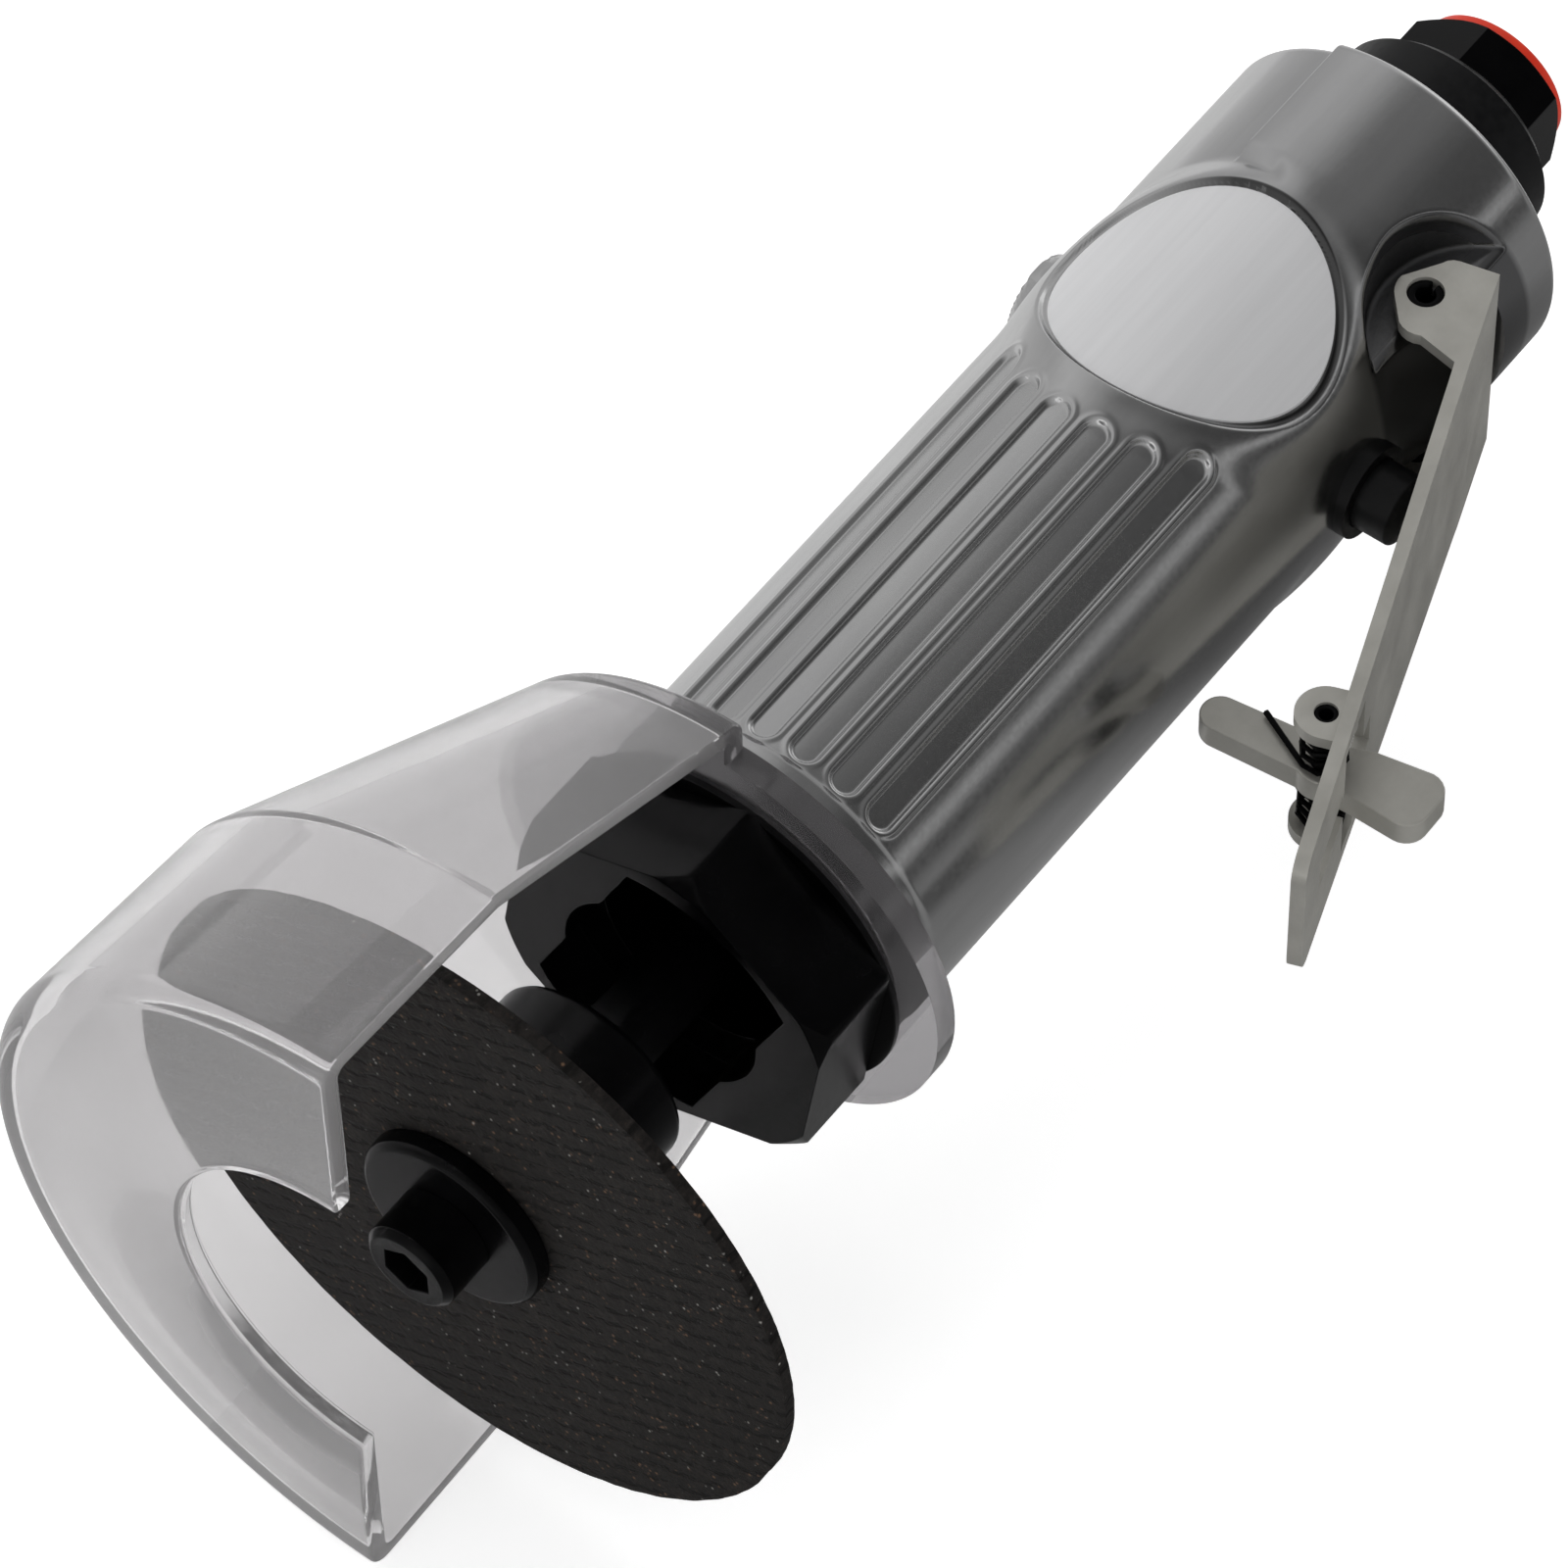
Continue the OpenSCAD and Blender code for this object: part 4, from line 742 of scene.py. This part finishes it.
def make_guard():
    section = guard_profile()
    turns = 150
    vertices = []
    for i in range(turns + 1):
        a = -math.pi / 2 + math.pi * i / turns
        for x, r in section:
            vertices.append(at(x, r * math.cos(a), r * math.sin(a)))
    n = len(section)
    faces = [tuple(range(n)), tuple(reversed(range(turns * n, (turns + 1) * n)))]
    for i in range(turns):
        for j in range(n):
            k = (j + 1) % n
            faces.append((i * n + j, i * n + k, (i + 1) * n + k, (i + 1) * n + j))
    mesh = raw_mesh("guard_moulded", vertices, faces)
    piece = link_object("guard_moulded", mesh)
    work = bmesh.new()
    work.from_mesh(mesh)
    bmesh.ops.recalc_face_normals(work, faces=work.faces)
    rims = [e for e in work.edges if any(len(f.verts) > 4 for f in e.link_faces)]
    round_edges(work, rims, GUARD["edge"])
    split_wide_faces(work)
    work.to_mesh(mesh)
    work.free()
    ring = rod("ring", (GUARD["ring"], 0, 0), (GUARD["rear"], 0, 0), GUARD["ring_r"], 144)
    cut(piece, [ring], "UNION")
    cut(piece, [rod("ring_bore", (30, 0, 0), (50, 0, 0), GUARD["bore"], 128)])
    set_smooth(piece.data, 30)
    stand_for(piece, "guard")


# Disc: a reinforced wheel with a slightly ragged rim. Radii and stations are in mm.
DISC = {"bore": 4.79, "middle": 12.0, "flat": 36.9, "rim": 37.45, "worn": 0.11, "thick": 1.6, "shy": 0.12,
        "sides": 360}


def make_disc():
    sides = DISC["sides"]
    wave = np.random.default_rng(7).normal(0, 1, sides)
    blur = [0.1, 0.25, 0.3, 0.25, 0.1]
    wave = np.convolve(np.concatenate([wave[-2:], wave, wave[:2]]), blur, "valid")
    rim = DISC["rim"] - DISC["worn"] * np.abs(wave)
    thick, shy = DISC["thick"], DISC["shy"]
    flats = [DISC["bore"], DISC["middle"], DISC["flat"]]
    levels = [(r, 0.0) for r in flats]
    levels += [(rim, shy), (rim, thick / 2), (rim, thick - shy)]
    levels += [(r, thick) for r in reversed(flats)]
    vertices = []
    for r, x in levels:
        reach = np.broadcast_to(r, sides)
        for j in range(sides):
            a = 2 * math.pi * j / sides
            vertices.append(at(x, reach[j] * math.sin(a), reach[j] * math.cos(a)))
    faces = []
    for i in range(len(levels)):
        for j in range(sides):
            k = (j + 1) % sides
            n = (i + 1) % len(levels)
            faces.append((i * sides + j, i * sides + k, n * sides + k, n * sides + j))
    piece = add_object("disc_pressed", raw_mesh("disc_pressed", vertices, faces), 40)
    work = bmesh.new()
    work.from_mesh(piece.data)
    bmesh.ops.recalc_face_normals(work, faces=work.faces)
    work.to_mesh(piece.data)
    work.free()
    stand_for(piece, "cutting_disc")


# The width in mm at which each of these nodes' sharp edges is rounded
SOFT_EDGES = {
    "label_plate": 0.06, "clamp_nut": 0.35, "guard_washer": 0.12, "drive_flange": 0.4, "outer_flange": 0.3,
    "disc_bolt": 0.3, "lever": 0.32, "safety_latch": 0.35, "lever_pin": 0.2, "latch_pin": 0.15,
    "valve_stem": 0.15, "valve_bushing": 0.2, "regulator_screw": 0.12, "exhaust_deflector": 0.3,
    "inlet_bushing": 0.3, "inlet_ring": 0.3,
}


# Stage and light
FLOOR_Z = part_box("guard")[0][2] - 0.2 * MM
WHITE = (1, 1, 1, 1)


def white_to_the_eye(look, level):
    """Light of its own that only the camera, glass and, weakly, reflections see: the floor stays white."""
    path = look.node("LightPath")
    seen = look.math("MAXIMUM", path.outputs["Is Camera Ray"], path.outputs["Is Transmission Ray"])
    seen = look.math("MAXIMUM", seen, look.math("MULTIPLY", path.outputs["Is Glossy Ray"], 0.2))
    look.surface.inputs["Emission Color"].default_value = WHITE
    look.link(look.math("MULTIPLY", seen, level), look.surface.inputs["Emission Strength"])


def make_floor():
    size = 6.0
    corners = [(x * size, y * size, FLOOR_Z) for x, y in ((-1, -1), (1, -1), (1, 1), (-1, 1))]
    floor = add_object("floor", raw_mesh("floor", corners, [(0, 1, 2, 3)]), 35)
    look = Shader("floor_paper", Base_Color=(0.85, 0.85, 0.85, 1), Roughness=0.9, Specular_IOR_Level=0.1)
    white_to_the_eye(look, 0.6)
    floor.data.materials.append(look.material)


def make_world():
    """A plain world that lights at 0.3, and is white to the camera, glass and reflections."""
    world = bpy.data.worlds.new("studio")
    bpy.context.scene.world = world
    world.use_nodes = True
    tree = world.node_tree
    back = tree.nodes["Background"]
    path = tree.nodes.new("ShaderNodeLightPath")
    seen = path.outputs["Is Camera Ray"]
    for kind in ("Is Transmission Ray", "Is Glossy Ray"):
        join = tree.nodes.new("ShaderNodeMath")
        join.operation = "MAXIMUM"
        tree.links.new(seen, join.inputs[0])
        tree.links.new(path.outputs[kind], join.inputs[1])
        seen = join.outputs["Value"]
    pick = tree.nodes.new("ShaderNodeMix")
    pick.data_type = "FLOAT"
    pick.inputs["A"].default_value = 0.3
    pick.inputs["B"].default_value = 1.0
    tree.links.new(seen, pick.inputs["Factor"])
    tree.links.new(pick.outputs["Result"], back.inputs["Strength"])
    back.inputs["Color"].default_value = WHITE


# What the metal reflects round the spindle: degrees from the guard side over the top, and brightness
REFLECTED = (
    (-62, 0.95), (-54, 0.9), (-34, 0.62), (-14, 0.7), (-8, 0.52), (6, 0.46), (26, 0.4), (46, 0.52),
    (66, 0.4), (84, 0.16), (106, 0.15), (126, 0.075), (146, 0.06), (159, 0.06), (161.5, 0.42), (167, 0.42),
    (169, 0.06), (206, 0.03), (226, 0.05), (246, 0.09), (264, 0.2),
)
# The cards' stations along the frame and their distance from the spindle, in metres
CARD_ROWS = (-1.6, -0.9, -0.4, -0.1, -0.07, -0.05, -0.02, 0.0, 0.03, 0.1, 0.25, 0.4, 0.6, 0.9, 1.3, 2.0)
CARD_REACH = 0.7
CARD_STEP = 2  # degrees
# Low down, from an angle on, the cards are paler beside the tool's ends: how much, and from where to where
PALER_FROM, PALER_OVER = 176, 10
PALER_REAR = (0.18, -0.01, 0.03)
PALER_FRONT = (0.13, -0.045, -0.07)
# Far from a middle station, they turn most of the way to one brightness
EVEN = {"middle": 0.25, "from": 0.15, "over": 0.9, "level": 0.5, "most": 0.8}


def paler(x, much, start, end):
    return much * ease((x - start) / (end - start))


def card_level(x, angle):
    """A card's brightness at a station in metres and an angle in degrees."""
    level = float(np.interp(angle, *zip(*REFLECTED)))
    level += (paler(x, *PALER_REAR) + paler(x, *PALER_FRONT)) * ease((angle - PALER_FROM) / PALER_OVER)
    share = EVEN["most"] * ease((abs(x - EVEN["middle"]) - EVEN["from"]) / EVEN["over"])
    return level + (EVEN["level"] - level) * share


def make_flags():
    """Grey cards round the spindle that only reflections see, as a studio hangs them for bright metal."""
    low = FLOOR_Z + 0.3 * MM
    angles = range(REFLECTED[0][0], REFLECTED[-1][0] + CARD_STEP, CARD_STEP)
    vertices, levels = [], []
    for x in CARD_ROWS:
        for angle in angles:
            a = math.radians(angle)
            reach = CARD_REACH if math.sin(a) >= 0 else min(CARD_REACH, low / math.sin(a))
            vertices.append((x, reach * math.cos(a), reach * math.sin(a)))
            levels.append(card_level(x, angle))
    n = len(angles)
    faces = [(i * n + j, i * n + j + 1, (i + 1) * n + j + 1, (i + 1) * n + j)
             for i in range(len(CARD_ROWS) - 1) for j in range(n - 1)]
    flags = add_object("flags", raw_mesh("flags", vertices, faces), 180)
    flags.data.attributes.new("level", "FLOAT", "POINT").data.foreach_set("value", levels)
    look = Shader("flags", Base_Color=(0, 0, 0, 1), Specular_IOR_Level=0, Emission_Color=WHITE)
    level = look.node("Attribute", attribute_name="level")
    look.link(level.outputs["Fac"], look.surface.inputs["Emission Strength"])
    flags.data.materials.append(look.material)
    flags.visible_camera = flags.visible_diffuse = flags.visible_transmission = False
    flags.visible_shadow = flags.visible_volume_scatter = False


def softbox(name, spot, target, wide, high, watts):
    """A lamp that lights what is dull; the cards above give the metal its reflections."""
    data = bpy.data.lights.new(name, "AREA")
    data.shape = "RECTANGLE"
    data.size, data.size_y, data.energy = wide, high, watts
    lamp = link_object(name, data)
    start, end = at(*spot), at(*target)
    turn = (end - start).to_track_quat("-Z", "Y").to_matrix().to_4x4()
    lamp.matrix_world = Matrix.Translation(start) @ turn
    lamp.visible_glossy = False


def make_lights():
    middle = (80, 0, 0)
    softbox("key", (100, 900, 420), middle, 1.2, 0.8, 5)
    softbox("top", (300, 300, 1100), middle, 0.8, 0.8, 3)
    softbox("front", (-700, 200, 120), middle, 0.6, 0.5, 1.5)
    softbox("side", (-100, -900, 300), middle, 0.8, 0.8, 3.5)


MATERIALS = make_materials()
make_camera()
make_floor()
make_world()
make_flags()
make_lights()
for name, node in frame["nodes"].items():
    node.data.materials.clear()
    node.data.materials.append(MATERIALS[slot_of(name)])
make_housing()
make_guard()
make_disc()
for name, width in SOFT_EDGES.items():
    softened(name, width)

scene = bpy.context.scene
scene.view_settings.view_transform = "Standard"
